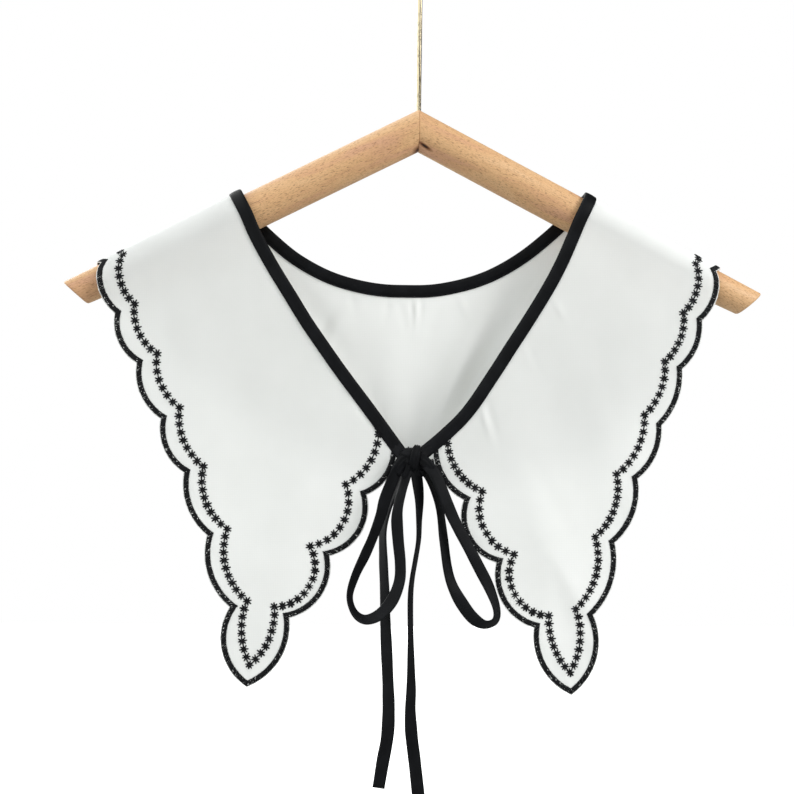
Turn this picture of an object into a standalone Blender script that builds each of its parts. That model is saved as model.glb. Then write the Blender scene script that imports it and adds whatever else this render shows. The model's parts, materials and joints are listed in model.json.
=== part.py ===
"""False collar with scalloped edges and a tied neck, hung on a round wooden hanger."""
import bpy
import bmesh
from math import atan2, cos, exp, pi, radians, sin, sqrt, tan

# Lengths are in millimetres here and turned to metres when a mesh is made
MM = 0.001
SEAM_GAP = 0.3

# Hanger
ARM_SLOPE = radians(27.0)
ARM_TOP_Z = -130.0
ARM_RADIUS = 12.0
ARM_SIDES = 24
END_SLANT = radians(22.0)
END_ROUND = 1.4
WIRE_RADIUS = 1.6
WIRE_SIDES = 12
HOOK_RADIUS = 20.6
HOOK_CENTRE_Z = -19.0
HOOK_TIP_ANGLE = -22.0
HOOK_TURN_ANGLE = 240.0

# Arm sections, distance along the top line and radius; the underside tapers
ARM_SECTIONS = [
    (60.0, 12.0),
    (130.0, 12.0),
    (165.0, 11.6),
    (195.0, 10.8),
    (222.0, 10.1),
]
ARM_LENGTH = 250.3
ARM_END_RADIUS = 9.3

# Cloth and tape
CLOTH_WALL = 1.2
NECK_INNER_RADIUS = 14.5
SHOULDER_INNER_RADIUS = 12.8
NECK_X = 98.0
SHOULDER_X = 202.0
EDGE_WIDTH = 3.5
BINDING_WIDTH = 8.2
BINDING_WALL = 0.8
TIE_WIDTH = 8.0
TIE_WALL = 1.2

AXIS_Z = ARM_TOP_Z - ARM_RADIUS / cos(ARM_SLOPE)
SIN_A = sin(ARM_SLOPE)
COS_A = cos(ARM_SLOPE)

# Middle line of the neck binding, laid flat: distance from the centre, height
NECK_LEFT = [
    (122.4, -172.2), (115.6, -185.5), (108.8, -198.9), (101.8, -214.5), (86.0, -241.5),
    (67.7, -269.9), (48.8, -296.5), (29.5, -321.7), (10.1, -347.7),
]
NECK_RIGHT = [
    (117.5, -169.7), (110.7, -183.0), (103.9, -196.4), (97.5, -211.5), (85.2, -238.5),
    (68.5, -266.5), (51.5, -293.5), (33.5, -320.8), (19.0, -336.0), (5.2, -348.2),
]
NECK_BACK = [
    (-122.4, -172.2), (-115.6, -185.5), (-106.9, -198.3), (-94.5, -211.0), (-77.0, -225.2),
    (-60.0, -234.6), (-41.5, -240.9), (-23.0, -244.2), (-4.0, -245.0), (14.0, -243.8),
    (32.5, -239.9), (51.5, -232.8), (70.0, -221.6), (86.0, -208.6), (98.6, -196.6),
    (110.7, -183.0), (117.5, -169.7),
]

# Scallops of the fronts, laid flat, from over the shoulder round the tip to the knot:
# cusp distance from the centre, cusp height, bulge of the scallop that follows,
# and how far along the neck edge the cloth's threads from this cusp arrive
FRONT_LEFT = [
    (209.6, -196.8, 5.5, -0.10),
    (195.4, -227.7, 6.2, 0.03),
    (185.4, -261.9, 5.9, 0.12),
    (171.4, -292.3, 6.4, 0.20),
    (156.0, -327.0, 6.4, 0.28),
    (141.1, -360.3, 6.4, 0.36),
    (126.1, -399.8, 8.0, 0.44),
    (110.5, -445.0, 10.0, 0.52),
    (103.8, -491.7, 8.5, 0.58),
    (82.1, -449.5, 10.8, 0.66),
    (57.8, -410.6, 10.8, 0.77),
    (35.0, -372.8, 5.5, 0.87),
    (15.6, -346.0, 0.0, 0.95),
]
FRONT_RIGHT = [
    (202.0, -197.0, 5.0, -0.10),
    (187.4, -227.8, 5.3, 0.03),
    (177.9, -260.7, 4.6, 0.12),
    (165.4, -291.6, 4.6, 0.20),
    (152.6, -327.8, 5.2, 0.28),
    (137.4, -361.6, 6.4, 0.36),
    (123.2, -402.5, 7.0, 0.44),
    (109.5, -448.8, 8.8, 0.52),
    (100.1, -495.9, 7.8, 0.58),
    (80.0, -455.0, 10.8, 0.66),
    (56.0, -414.1, 11.0, 0.77),
    (35.0, -375.7, 5.5, 0.86),
    (14.1, -345.7, 0.0, 0.93),
]
BACK = [
    (-202.1, -214.6, 5.5, -0.10),
    (-185.5, -244.3, 5.7, 0.07),
    (-166.0, -267.5, 5.7, 0.14),
    (-142.0, -291.5, 5.7, 0.20),
    (-114.0, -313.0, 5.7, 0.27),
    (-83.0, -331.0, 5.7, 0.34),
    (-50.0, -343.5, 5.7, 0.41),
    (-17.0, -350.5, 5.7, 0.47),
    (17.0, -350.5, 5.7, 0.54),
    (50.0, -343.5, 5.7, 0.60),
    (82.0, -331.0, 5.7, 0.67),
    (112.0, -313.0, 5.7, 0.74),
    (139.0, -291.0, 5.7, 0.81),
    (162.5, -265.0, 5.7, 0.87),
    (181.1, -237.9, 5.0, 0.94),
    (197.5, -208.1, 0.0, 1.1),
]
ARC_STEPS = 5
CREST_STEPS = 2
# Inner line beside the scallops that the ribs of each leaf pass through
CUSP_INSET = 10.0
TIP_INSET = 6.0
INSET_SHARE = 0.34
# Share of the last scallop that is made before the leaf goes under the neck binding
KEEP_LEFT = 0.88
KEEP_RIGHT = 0.93
UNDER_BINDING = 2.2
UNDER_STEPS = 2
FRONT_ROWS = [0.30, 0.55, 0.78, 1.0]
BACK_ROWS = [0.36, 0.70, 1.0]

# Soft folds: centre x, centre z, lean from upright in degrees, half length, half width, height
FRONT_FOLDS = [
    (-138.0, -300.0, -12.0, 62.0, 20.0, 1.8),
    (-100.0, -350.0, 24.0, 80.0, 22.0, -1.6),
    (-84.0, -408.0, 28.0, 52.0, 12.0, 2.0),
    (-98.0, -446.0, 20.0, 34.0, 9.0, -1.2),
    (132.0, -306.0, 10.0, 66.0, 22.0, 1.6),
    (96.0, -344.0, -26.0, 84.0, 20.0, -1.8),
    (88.0, -414.0, -22.0, 50.0, 13.0, 1.8),
    (97.0, -452.0, -16.0, 32.0, 8.0, -1.2),
]
BACK_FOLDS = [
    (-3.0, -296.0, 1.0, 60.0, 6.0, 2.4),
    (9.0, -306.0, 3.0, 52.0, 7.0, -2.0),
    (-17.0, -310.0, -4.0, 44.0, 8.0, -1.6),
    (56.0, -276.0, 32.0, 62.0, 10.0, 3.0),
    (86.0, -286.0, 38.0, 46.0, 12.0, -1.8),
    (-58.0, -270.0, -30.0, 40.0, 9.0, 2.2),
    (-92.0, -284.0, -40.0, 46.0, 14.0, -1.6),
    (-132.0, -262.0, -44.0, 36.0, 14.0, 1.6),
    (134.0, -262.0, 44.0, 36.0, 14.0, 1.6),
]

# Bow: x, y, z of the tape's middle line and its turn out of the front view in degrees
LOOP_LEFT = [
    (-10.9, -21.0, -356.2, 44.0), (-15.4, -22.5, -366.4, 17.0), (-19.6, -23.5, -377.6, 17.0),
    (-22.3, -24.0, -388.2, 29.0), (-27.1, -24.5, -401.4, 37.0), (-31.9, -25.0, -412.6, 37.0),
    (-37.4, -25.5, -424.5, 44.0), (-40.8, -26.0, -436.3, 60.0), (-39.4, -26.5, -444.7, 64.0),
    (-35.2, -27.0, -450.3, 56.0), (-29.2, -27.0, -451.8, 44.0), (-21.2, -26.5, -448.0, 29.0),
    (-14.1, -26.0, -439.3, 24.0), (-10.0, -25.5, -428.0, 33.0), (-9.6, -25.0, -416.8, 33.0),
    (-11.0, -24.0, -403.1, 29.0), (-11.9, -23.0, -390.0, 29.0), (-11.1, -22.0, -381.3, 44.0),
    (-8.7, -21.2, -371.3, 50.0), (-6.3, -20.6, -363.2, 50.0), (-5.2, -20.4, -359.2, 50.0),
]
LOOP_RIGHT = [
    (6.4, -21.0, -355.6, 44.0), (10.9, -22.5, -361.1, 37.0), (15.4, -24.0, -370.4, 29.0),
    (20.9, -25.0, -383.5, 17.0), (25.7, -25.5, -393.4, 24.0), (32.1, -26.0, -405.2, 24.0),
    (39.5, -26.5, -418.9, 17.0), (46.3, -27.0, -432.0, 29.0), (50.8, -27.5, -444.5, 50.0),
    (50.0, -28.0, -452.0, 52.0), (43.7, -28.0, -454.5, 46.0), (36.5, -27.5, -450.8, 17.0),
    (29.5, -26.5, -442.1, 0.0), (23.3, -25.0, -430.9, -29.0), (20.1, -23.5, -419.7, -37.0),
    (17.7, -21.5, -402.2, -47.0), (15.5, -19.5, -384.8, -50.0), (12.6, -18.6, -373.6, -50.0),
    (9.0, -18.0, -364.9, -50.0), (4.35, -17.6, -357.85, -50.0),
]
TAIL_LEFT = [
    (-6.2, -13.2, -359.6, -61.0), (-12.1, -13.2, -371.8, -61.0), (-17.0, -13.6, -383.1, -61.0),
    (-20.0, -14.4, -397.0, -61.0), (-19.6, -15.4, -415.8, -54.0), (-18.6, -16.4, -434.7, -47.0),
    (-18.0, -17.2, -453.5, -41.0), (-17.0, -17.4, -472.0, -28.0), (-15.7, -17.2, -495.3, -21.0),
    (-15.2, -17.0, -510.6, -10.0), (-15.8, -16.8, -526.3, 0.0), (-18.4, -16.6, -542.0, 0.0),
    (-20.9, -16.4, -558.5, 0.0),
]
TAIL_RIGHT = [
    (-0.4, -18.4, -359.4, 24.0), (1.0, -18.6, -366.4, 26.0), (2.3, -18.8, -377.7, 44.0),
    (2.3, -19.0, -390.0, 60.0), (2.1, -19.0, -402.7, 66.0), (0.3, -18.8, -415.3, 67.0),
    (-1.7, -18.6, -427.8, 67.0), (-2.5, -18.4, -440.3, 64.0), (-2.0, -18.2, -465.4, 60.0),
    (-1.3, -18.0, -494.5, 41.0), (-1.6, -17.6, -509.8, 24.0), (-0.6, -17.2, -525.4, 8.0),
    (1.5, -17.0, -541.1, 0.0), (4.0, -16.8, -561.7, 0.0), (4.9, -16.8, -571.0, 0.0),
]
KNOT_CENTRE = (-2.4, -17.8, -352.4)
KNOT_HALF = (7.6, 4.6, 6.6)
KNOT_WAIST = 0.16


def clear():
    for old in list(bpy.data.objects):
        bpy.data.objects.remove(old, do_unlink=True)


def material(name, colour, roughness, metallic=0.0):
    made = bpy.data.materials.new(name)
    made.use_nodes = True
    shader = made.node_tree.nodes["Principled BSDF"]
    shader.inputs["Base Color"].default_value = (*colour, 1.0)
    shader.inputs["Roughness"].default_value = roughness
    shader.inputs["Metallic"].default_value = metallic
    return made


def body(name, points, faces, finish, smooth=False):
    mesh = bpy.data.meshes.new(name)
    mesh.from_pydata([(x * MM, y * MM, z * MM) for x, y, z in points], [], faces)
    mesh.validate()
    work = bmesh.new()
    work.from_mesh(mesh)
    bmesh.ops.recalc_face_normals(work, faces=work.faces)
    if work.calc_volume(signed=True) < 0:
        bmesh.ops.reverse_faces(work, faces=work.faces)
    work.to_mesh(mesh)
    work.free()
    mesh.materials.append(finish)
    for face in mesh.polygons:
        face.use_smooth = smooth
    made = bpy.data.objects.new(name, mesh)
    bpy.context.scene.collection.objects.link(made)
    return made


def curve_point(rows, t):
    """Point on a smooth line through the rows, t from 0 to the row count less one."""
    last = len(rows) - 1
    i = min(max(int(t), 0), last - 1)
    u = t - i
    b, c = rows[i], rows[i + 1]
    a = rows[i - 1] if i > 0 else tuple(2 * p - q for p, q in zip(b, c))
    d = rows[i + 2] if i + 2 <= last else tuple(2 * q - p for p, q in zip(b, c))
    out = []
    for p0, p1, p2, p3 in zip(a, b, c, d):
        out.append(
            0.5 * (2 * p1 + (p2 - p0) * u
                   + (2 * p0 - 5 * p1 + 4 * p2 - p3) * u * u
                   + (3 * p1 - p0 - 3 * p2 + p3) * u ** 3)
        )
    return tuple(out)


class Line:
    """Smooth flat line through rows of x and z, measured by its length."""

    def __init__(self, rows):
        self.rows = rows
        self.steps = 24 * (len(rows) - 1)
        self.points = [curve_point(rows, i / 24) for i in range(self.steps + 1)]
        self.length = [0.0]
        for p, q in zip(self.points, self.points[1:]):
            self.length.append(self.length[-1] + sqrt((q[0] - p[0]) ** 2 + (q[1] - p[1]) ** 2))

    def at(self, distance):
        for i in range(self.steps):
            if self.length[i + 1] >= distance or i == self.steps - 1:
                span = self.length[i + 1] - self.length[i]
                u = (distance - self.length[i]) / span
                p, q = self.points[i], self.points[i + 1]
                tx, tz = (q[0] - p[0]) / span, (q[1] - p[1]) / span
                return (p[0] + (q[0] - p[0]) * u, p[1] + (q[1] - p[1]) * u), (tx, tz)

    def cut(self, inside):
        """Distance along the line where inside(x, z) first becomes true."""
        for i, p in enumerate(self.points):
            if inside(*p):
                low, high = self.length[i - 1], self.length[i]
                for _ in range(30):
                    mid = (low + high) / 2
                    if inside(*self.at(mid)[0]):
                        high = mid
                    else:
                        low = mid
                return high
        return 0.0


def inner_radius(foot_x):
    t = min(max((foot_x - NECK_X) / (SHOULDER_X - NECK_X), 0.0), 1.0)
    return NECK_INNER_RADIUS + (SHOULDER_INNER_RADIUS - NECK_INNER_RADIUS) * t


def above_axis(x, z):
    """Flat distance above the arm's axis and the axis point under it."""
    d = abs(x) * SIN_A + (z - AXIS_Z) * COS_A
    return d, abs(x) - max(d, 0.0) * SIN_A, z - max(d, 0.0) * COS_A


def crest(x, z):
    """Flat distance from this point up to the line over the arm where the leaves part."""
    d, foot_x, _ = above_axis(x, z)
    return (inner_radius(foot_x) + CLOTH_WALL / 2) * pi / 2 - SEAM_GAP / 2 - d


def crest_direction(x):
    """Flat direction of the parting line over the arm, away from the neck."""
    fall = (SHOULDER_INNER_RADIUS - NECK_INNER_RADIUS) / (SHOULDER_X - NECK_X) * pi / 2
    dx, dz = COS_A + fall * SIN_A, -SIN_A + fall * COS_A
    size = sqrt(dx * dx + dz * dz)
    return (dx / size if x >= 0 else -dx / size, dz / size)


def folds(table, x, z):
    d = abs(x) * SIN_A + (z - AXIS_Z) * COS_A
    calm = min(max((-d - 16.0) / 26.0, 0.0), 1.0)
    calm = calm * calm * (3 - 2 * calm)
    total = 0.0
    for cx, cz, lean, half_length, half_width, height in table:
        dx, dz = x - cx, z - cz
        along = -dx * sin(radians(lean)) - dz * cos(radians(lean))
        across = dx * cos(radians(lean)) - dz * sin(radians(lean))
        total += height * exp(-(along / half_length) ** 2 - (across / half_width) ** 2)
    return total * calm


def drape(facing, table, x, z, out, ease=1.0):
    """Flat cloth point to its place over the arm; out is measured from the inner face."""
    d, foot_x, foot_z = above_axis(x, z)
    inner = inner_radius(foot_x)
    sign = 1.0 if x >= 0 else -1.0
    if d <= 0:
        return (x, facing * (inner + out + ease * folds(table, x, z)), z)
    angle = d / (inner + CLOTH_WALL / 2)
    radius = inner + out
    up = radius * sin(angle)
    return (sign * (foot_x + up * SIN_A), facing * radius * cos(angle), foot_z + up * COS_A)


def circle(a, b, bulge, turn):
    """Centre and radius of the scallop from cusp a to cusp b."""
    dx, dz = b[0] - a[0], b[1] - a[1]
    half = sqrt(dx * dx + dz * dz) / 2
    radius = (half * half + bulge * bulge) / (2 * bulge)
    nx, nz = -dz / (2 * half) * turn, dx / (2 * half) * turn
    back = radius - bulge
    return ((a[0] + b[0]) / 2 - nx * back, (a[1] + b[1]) / 2 - nz * back, radius)


def meet(one, two, near):
    """Point where two circles cross, the crossing nearer to the given point."""
    dx, dz = two[0] - one[0], two[1] - one[1]
    dist = sqrt(dx * dx + dz * dz)
    along = (one[2] ** 2 - two[2] ** 2 + dist * dist) / (2 * dist)
    rise = sqrt(max(one[2] ** 2 - along * along, 0.0))
    mx, mz = one[0] + along * dx / dist, one[1] + along * dz / dist
    options = [(mx - rise * dz / dist, mz + rise * dx / dist),
               (mx + rise * dz / dist, mz - rise * dx / dist)]
    return min(options, key=lambda p: (p[0] - near[0]) ** 2 + (p[1] - near[1]) ** 2)


def arc(ring, a, b, steps):
    start = atan2(a[1] - ring[1], a[0] - ring[0])
    sweep = atan2(b[1] - ring[1], b[0] - ring[0]) - start
    sweep = (sweep + pi) % (2 * pi) - pi
    return [(ring[0] + ring[2] * cos(start + sweep * i / steps),
             ring[1] + ring[2] * sin(start + sweep * i / steps)) for i in range(steps + 1)]


def shorten(ring, a, b):
    """End of the arc from b towards a where it reaches the crest line."""
    fine = arc(ring, b, a, 200)
    for p in fine:
        if crest(*p) < 0:
            return p
    return a


def unit(x, z):
    size = sqrt(x * x + z * z)
    return (x / size, z / size)


def scallops(table, turn, over_steps, keep):
    """Edge stations, each with its arc and share of it, and their places along the neck edge.

    The scallop that crosses the shoulder is cut there and takes over_steps steps.
    """
    rings = []
    for one, two in zip(table, table[1:]):
        cx, cz, radius = circle(one, two, one[2], turn)
        rings.append((cx, cz, radius + EDGE_WIDTH))
    corners = []
    for i in range(1, len(rings)):
        corners.append(meet(rings[i - 1], rings[i], table[i]))
    first = shorten(rings[0], table[0], corners[0])
    last_ring, last = rings[-1], table[-1]
    ends = [0.0] + [row[3] for row in table[1:]]
    if crest(last[0], last[1]) < 0:
        end = shorten(last_ring, last, corners[-1])
        ends[-1] = 1.0
    else:
        gap = sqrt((last[0] - last_ring[0]) ** 2 + (last[1] - last_ring[1]) ** 2)
        k = last_ring[2] / gap
        end = (last_ring[0] + (last[0] - last_ring[0]) * k,
               last_ring[1] + (last[1] - last_ring[1]) * k)
        end = arc(last_ring, corners[-1], end, 100)[round(100 * keep)]
    corners = [first] + corners + [end]
    edge, share = [], []
    for i, ring in enumerate(rings):
        steps = over_steps if i == 0 else ARC_STEPS
        pts = arc(ring, corners[i], corners[i + 1], steps)
        for k, p in enumerate(pts):
            if k == 0 and i > 0:
                continue
            edge.append((p, i, k / steps))
            share.append(ends[i] + (ends[i + 1] - ends[i]) * k / steps)
    return edge, share, rings, corners


def inner_corners(rings, corners, last_way):
    """At each cusp: the flat direction into the cloth and how far in the inner line runs."""
    squares = []
    for ring, a, b in zip(rings, corners, corners[1:]):
        way = unit(b[0] - a[0], b[1] - a[1])
        square = (-way[1], way[0])
        if square[0] * (ring[0] - a[0]) + square[1] * (ring[1] - a[1]) < 0:
            square = (way[1], -way[0])
        squares.append(square)
    first = crest_direction(corners[0][0])
    out = [((-first[0], -first[1]), CUSP_INSET)]
    for one, two in zip(squares, squares[1:]):
        depth = CUSP_INSET if one[0] * two[0] + one[1] * two[1] > 0 else TIP_INSET
        out.append((unit(one[0] + two[0], one[1] + two[1]), depth))
    return out + [(last_way, CUSP_INSET)]


def inner_point(a, b, one, two, share, limit):
    """Point of the inner line beside the scallop from a to b."""
    way = unit(one[0][0] + (two[0][0] - one[0][0]) * share,
               one[0][1] + (two[0][1] - one[0][1]) * share)
    depth = min(one[1] + (two[1] - one[1]) * share, limit)
    return (a[0] + (b[0] - a[0]) * share + way[0] * depth,
            a[1] + (b[1] - a[1]) * share + way[1] * depth)


def neck_stations(rows, share, side):
    """Neck edge points, with the flat direction from the opening into the cloth."""
    line = Line(rows)
    start = line.cut(lambda x, z: crest(x, z) >= 0)
    total = line.length[-1]
    if crest(*rows[-1]) < 0:
        total = Line(rows[::-1]).cut(lambda x, z: crest(x, z) >= 0)
        total = line.length[-1] - total
    out = []
    for s in share:
        (x, z), (tx, tz) = line.at(start + (total - start) * s)
        nx, nz = -tz * side, tx * side
        if abs(crest(x, z)) < 0.1:
            nx, nz = crest_direction(x)
        out.append(((x, z), (nx, nz)))
    return out


def leaf_grid(table, neck, rows, side, over_steps, keep):
    """Flat ribs of one leaf from the neck edge to the scallops, and its neck stations."""
    edge, share, rings, corners = scallops(table, side, over_steps, keep)
    over = crest(table[-1][0], table[-1][1]) < 0
    finish, square = neck_stations(neck, [1.0], side)[0]
    last = corners[-1]
    if over:
        way = crest_direction(last[0])
        last_way = (-way[0], -way[1])
    else:
        root = neck_stations(neck, share[-1:], side)[0][0]
        last_way = unit(root[0] - last[0], root[1] - last[1])
        goal = (finish[0] + square[0] * UNDER_BINDING, finish[1] + square[1] * UNDER_BINDING)
        for k in range(1, UNDER_STEPS + 1):
            t = k / UNDER_STEPS
            edge.append(((last[0] + (goal[0] - last[0]) * t, last[1] + (goal[1] - last[1]) * t), -1, t))
        low = share[-1]
        share += [low + (1 - low) * k / UNDER_STEPS for k in range(1, UNDER_STEPS + 1)]
    marks = inner_corners(rings, corners, last_way)
    stations = neck_stations(neck, share, side)
    half = BINDING_WIDTH / 2
    grid = []
    for (p, n), (e, i, part) in zip(stations, edge):
        inner = (p[0] - n[0] * (half - 1.1), p[1] - n[1] * (half - 1.1))
        reach = sqrt((e[0] - inner[0]) ** 2 + (e[1] - inner[1]) ** 2)
        step = min(BINDING_WIDTH + 0.2, reach * 0.45)
        second = (inner[0] + n[0] * step, inner[1] + n[1] * step)
        if i < 0:
            bend = (e[0] + (p[0] - e[0]) * 0.3, e[1] + (p[1] - e[1]) * 0.3)
        else:
            limit = INSET_SHARE * sqrt((e[0] - p[0]) ** 2 + (e[1] - p[1]) ** 2)
            bend = inner_point(corners[i], corners[i + 1], marks[i], marks[i + 1], part, limit)
        line = [inner, second]
        for t in rows:
            line.append((second[0] + (bend[0] - second[0]) * t, second[1] + (bend[1] - second[1]) * t))
        line.append(e)
        grid.append(line)
    return grid, stations


def leaf(name, table, neck, rows, facing, side, fold_table, flip, over_steps, keep, finish):
    """One cloth leaf as a closed thin body, and the stations of its neck edge."""
    sign = -1.0 if flip else 1.0
    grid, stations = leaf_grid(table, neck, rows, side, over_steps, keep)
    points, faces = [], []
    count, width = len(grid), len(grid[0])
    for out in (0.0, CLOTH_WALL):
        for line in grid:
            for j, (x, z) in enumerate(line):
                ease = 0.0 if j < 2 else 1.0
                points.append(drape(facing, fold_table, sign * x, z, out, ease))
    top = count * width
    for i in range(count - 1):
        for j in range(width - 1):
            a = i * width + j
            faces.append((a, a + 1, a + width + 1, a + width))
            faces.append((top + a, top + a + width, top + a + width + 1, top + a + 1))
    loop = [i * width for i in range(count)]
    loop += [(count - 1) * width + j for j in range(1, width)]
    loop += [i * width + width - 1 for i in range(count - 2, -1, -1)]
    loop += list(range(width - 2, 0, -1))
    for a, b in zip(loop, loop[1:] + loop[:1]):
        faces.append((a, b, top + b, top + a))
    cloth = body(name, points, faces, finish, smooth=False)
    return cloth, stations


def binding(name, stations, facing, flip, finish):
    """Tape folded over the neck edge, a U in section."""
    sign = -1.0 if flip else 1.0
    half = BINDING_WIDTH / 2
    low, high = -SEAM_GAP, CLOTH_WALL + SEAM_GAP
    section = [
        (-half, low - BINDING_WALL), (half, low - BINDING_WALL), (half, low),
        (-half + BINDING_WALL, low), (-half + BINDING_WALL, high), (half, high),
        (half, high + BINDING_WALL), (-half, high + BINDING_WALL),
    ]
    rings = []
    for p, n in stations:
        ring = []
        for across, out in section:
            x, z = p[0] + n[0] * across, p[1] + n[1] * across
            ring.append(drape(facing, [], sign * x, z, out))
        rings.append(ring)
    points = [v for ring in rings for v in ring]
    size = len(section)
    faces = []
    for i in range(len(rings) - 1):
        for k in range(size):
            a, b = i * size + k, i * size + (k + 1) % size
            faces.append((a, b, b + size, a + size))
    for base in (0, (len(rings) - 1) * size):
        faces.append((base, base + 1, base + 2, base + 3))
        faces.append((base, base + 3, base + 4, base + 7))
        faces.append((base + 4, base + 5, base + 6, base + 7))
    return body(name, points, faces, finish)


def tube(rings, caps=True):
    size = len(rings[0])
    points = [v for ring in rings for v in ring]
    faces = []
    for i in range(len(rings) - 1):
        for k in range(size):
            a, b = i * size + k, i * size + (k + 1) % size
            faces.append((a, b, b + size, a + size))
    if caps:
        faces.append(tuple(range(size)))
        faces.append(tuple(range((len(rings) - 1) * size, len(rings) * size)))
    return points, faces


def arm(name, sign, finish):
    """Round arm under the fixed top line, mitred in the middle and slanted at its end."""
    rings = []

    def section(along_of, radius):
        ring = []
        for k in range(ARM_SIDES):
            a = 2 * pi * k / ARM_SIDES
            up = radius * cos(a)
            depth = radius * sin(a)
            rise = up + ARM_RADIUS - radius
            along = along_of(rise)
            x = along * COS_A + rise * SIN_A
            z = AXIS_Z - along * SIN_A + rise * COS_A
            ring.append((sign * x, depth, z))
        rings.append(ring)

    section(lambda rise: (SEAM_GAP / 2 - rise * SIN_A) / COS_A, ARM_RADIUS)
    top_shift = ARM_RADIUS * tan(ARM_SLOPE)
    for along, radius in ARM_SECTIONS:
        section(lambda rise, s=along: s - top_shift, radius)
    slant = tan(END_SLANT)
    for back, shrink in ((END_ROUND, 0.0), (END_ROUND * 0.3, END_ROUND * 0.3), (0.0, END_ROUND)):
        radius = ARM_END_RADIUS - shrink
        offset = ARM_LENGTH - top_shift - back

        def slanted(rise, s=offset):
            return s - (ARM_RADIUS - rise) * slant

        ring = []
        for k in range(ARM_SIDES):
            a = 2 * pi * k / ARM_SIDES
            rise = radius * cos(a) + ARM_RADIUS - ARM_END_RADIUS
            depth = radius * sin(a)
            along = slanted(rise)
            x = along * COS_A + rise * SIN_A
            z = AXIS_Z - along * SIN_A + rise * COS_A
            ring.append((sign * x, depth, z))
        rings.append(ring)
    points, faces = tube(rings)
    return body(name, points, faces, finish, smooth=True)


def hook(name, finish):
    """Round wire: an open hook over the rail, a return bend and a straight stem."""
    path = []
    turn = HOOK_TURN_ANGLE
    steps = 26
    for i in range(steps + 1):
        a = radians(HOOK_TIP_ANGLE + (turn - HOOK_TIP_ANGLE) * i / steps)
        path.append((-HOOK_RADIUS * cos(a), HOOK_CENTRE_Z + HOOK_RADIUS * sin(a), a))
    ex, ez, a = path[-1]
    back = radians(turn) - pi
    cx = ex - HOOK_RADIUS * cos(radians(turn))
    cz = ez + HOOK_RADIUS * sin(radians(turn))
    bend = []
    for i in range(1, 8):
        b = back * (1 - i / 7)
        bend.append((cx - HOOK_RADIUS * cos(b), cz + HOOK_RADIUS * sin(b)))
    line = [(x, z) for x, z, _ in path] + bend
    shift = line[-1][0]
    line.append((shift, (line[-1][1] + ARM_TOP_Z) / 2))
    line.append((shift, ARM_TOP_Z + SEAM_GAP))
    line = [(x - shift, z) for x, z in line]
    rings = []
    for i, (x, z) in enumerate(line):
        p = line[max(i - 1, 0)]
        q = line[min(i + 1, len(line) - 1)]
        tx, tz = q[0] - p[0], q[1] - p[1]
        size = sqrt(tx * tx + tz * tz)
        nx, nz = -tz / size, tx / size
        radius = WIRE_RADIUS if i else WIRE_RADIUS * 0.55
        ring = []
        for k in range(WIRE_SIDES):
            a = 2 * pi * k / WIRE_SIDES
            ring.append((x + nx * radius * cos(a), radius * sin(a), z + nz * radius * cos(a)))
        rings.append(ring)
    points, faces = tube(rings)
    return body(name, points, faces, finish, smooth=True)


def tape(name, rows, per, finish):
    """Flat tie swept along its table."""
    count = per * (len(rows) - 1)
    spots = [curve_point(rows, i / per) for i in range(count + 1)]
    rings = []
    for i, (x, y, z, turn) in enumerate(spots):
        p, q = spots[max(i - 1, 0)], spots[min(i + 1, count)]
        t = [q[k] - p[k] for k in range(3)]
        size = sqrt(sum(c * c for c in t))
        t = [c / size for c in t]
        flat = sqrt(t[0] ** 2 + t[2] ** 2)
        side = (-t[2] / flat, 0.0, t[0] / flat)
        c, s = cos(radians(turn)), sin(radians(turn))
        w = [side[0] * c, s, side[2] * c]
        dot = sum(a * b for a, b in zip(w, t))
        w = [a - dot * b for a, b in zip(w, t)]
        size = sqrt(sum(a * a for a in w))
        w = [a / size for a in w]
        n = (w[1] * t[2] - w[2] * t[1], w[2] * t[0] - w[0] * t[2], w[0] * t[1] - w[1] * t[0])
        ring = []
        for a, b in ((-1, -1), (1, -1), (1, 1), (-1, 1)):
            ring.append(tuple(v + w[k] * a * TIE_WIDTH / 2 + n[k] * b * TIE_WALL / 2
                              for k, v in enumerate((x, y, z))))
        rings.append(ring)
    points, faces = tube(rings)
    return body(name, points, faces, finish)


def knot(name, finish):
    """Tape wrapped round the crossing, fuller above and below its waist."""
    cx, cy, cz = KNOT_CENTRE
    hx, hy, hz = KNOT_HALF
    sides, levels = 16, 9
    rings = []
    for j in range(levels):
        v = -1 + 2 * (j + 0.5) / levels
        swell = sqrt(max(1 - v ** 4, 0.0)) * (1 - KNOT_WAIST * exp(-(v / 0.3) ** 2))
        ring = []
        for k in range(sides):
            a = 2 * pi * k / sides
            ring.append((cx + hx * swell * cos(a), cy + hy * swell * sin(a), cz + hz * v))
        rings.append(ring)
    points, faces = tube(rings)
    return body(name, points, faces, finish, smooth=True)


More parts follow.
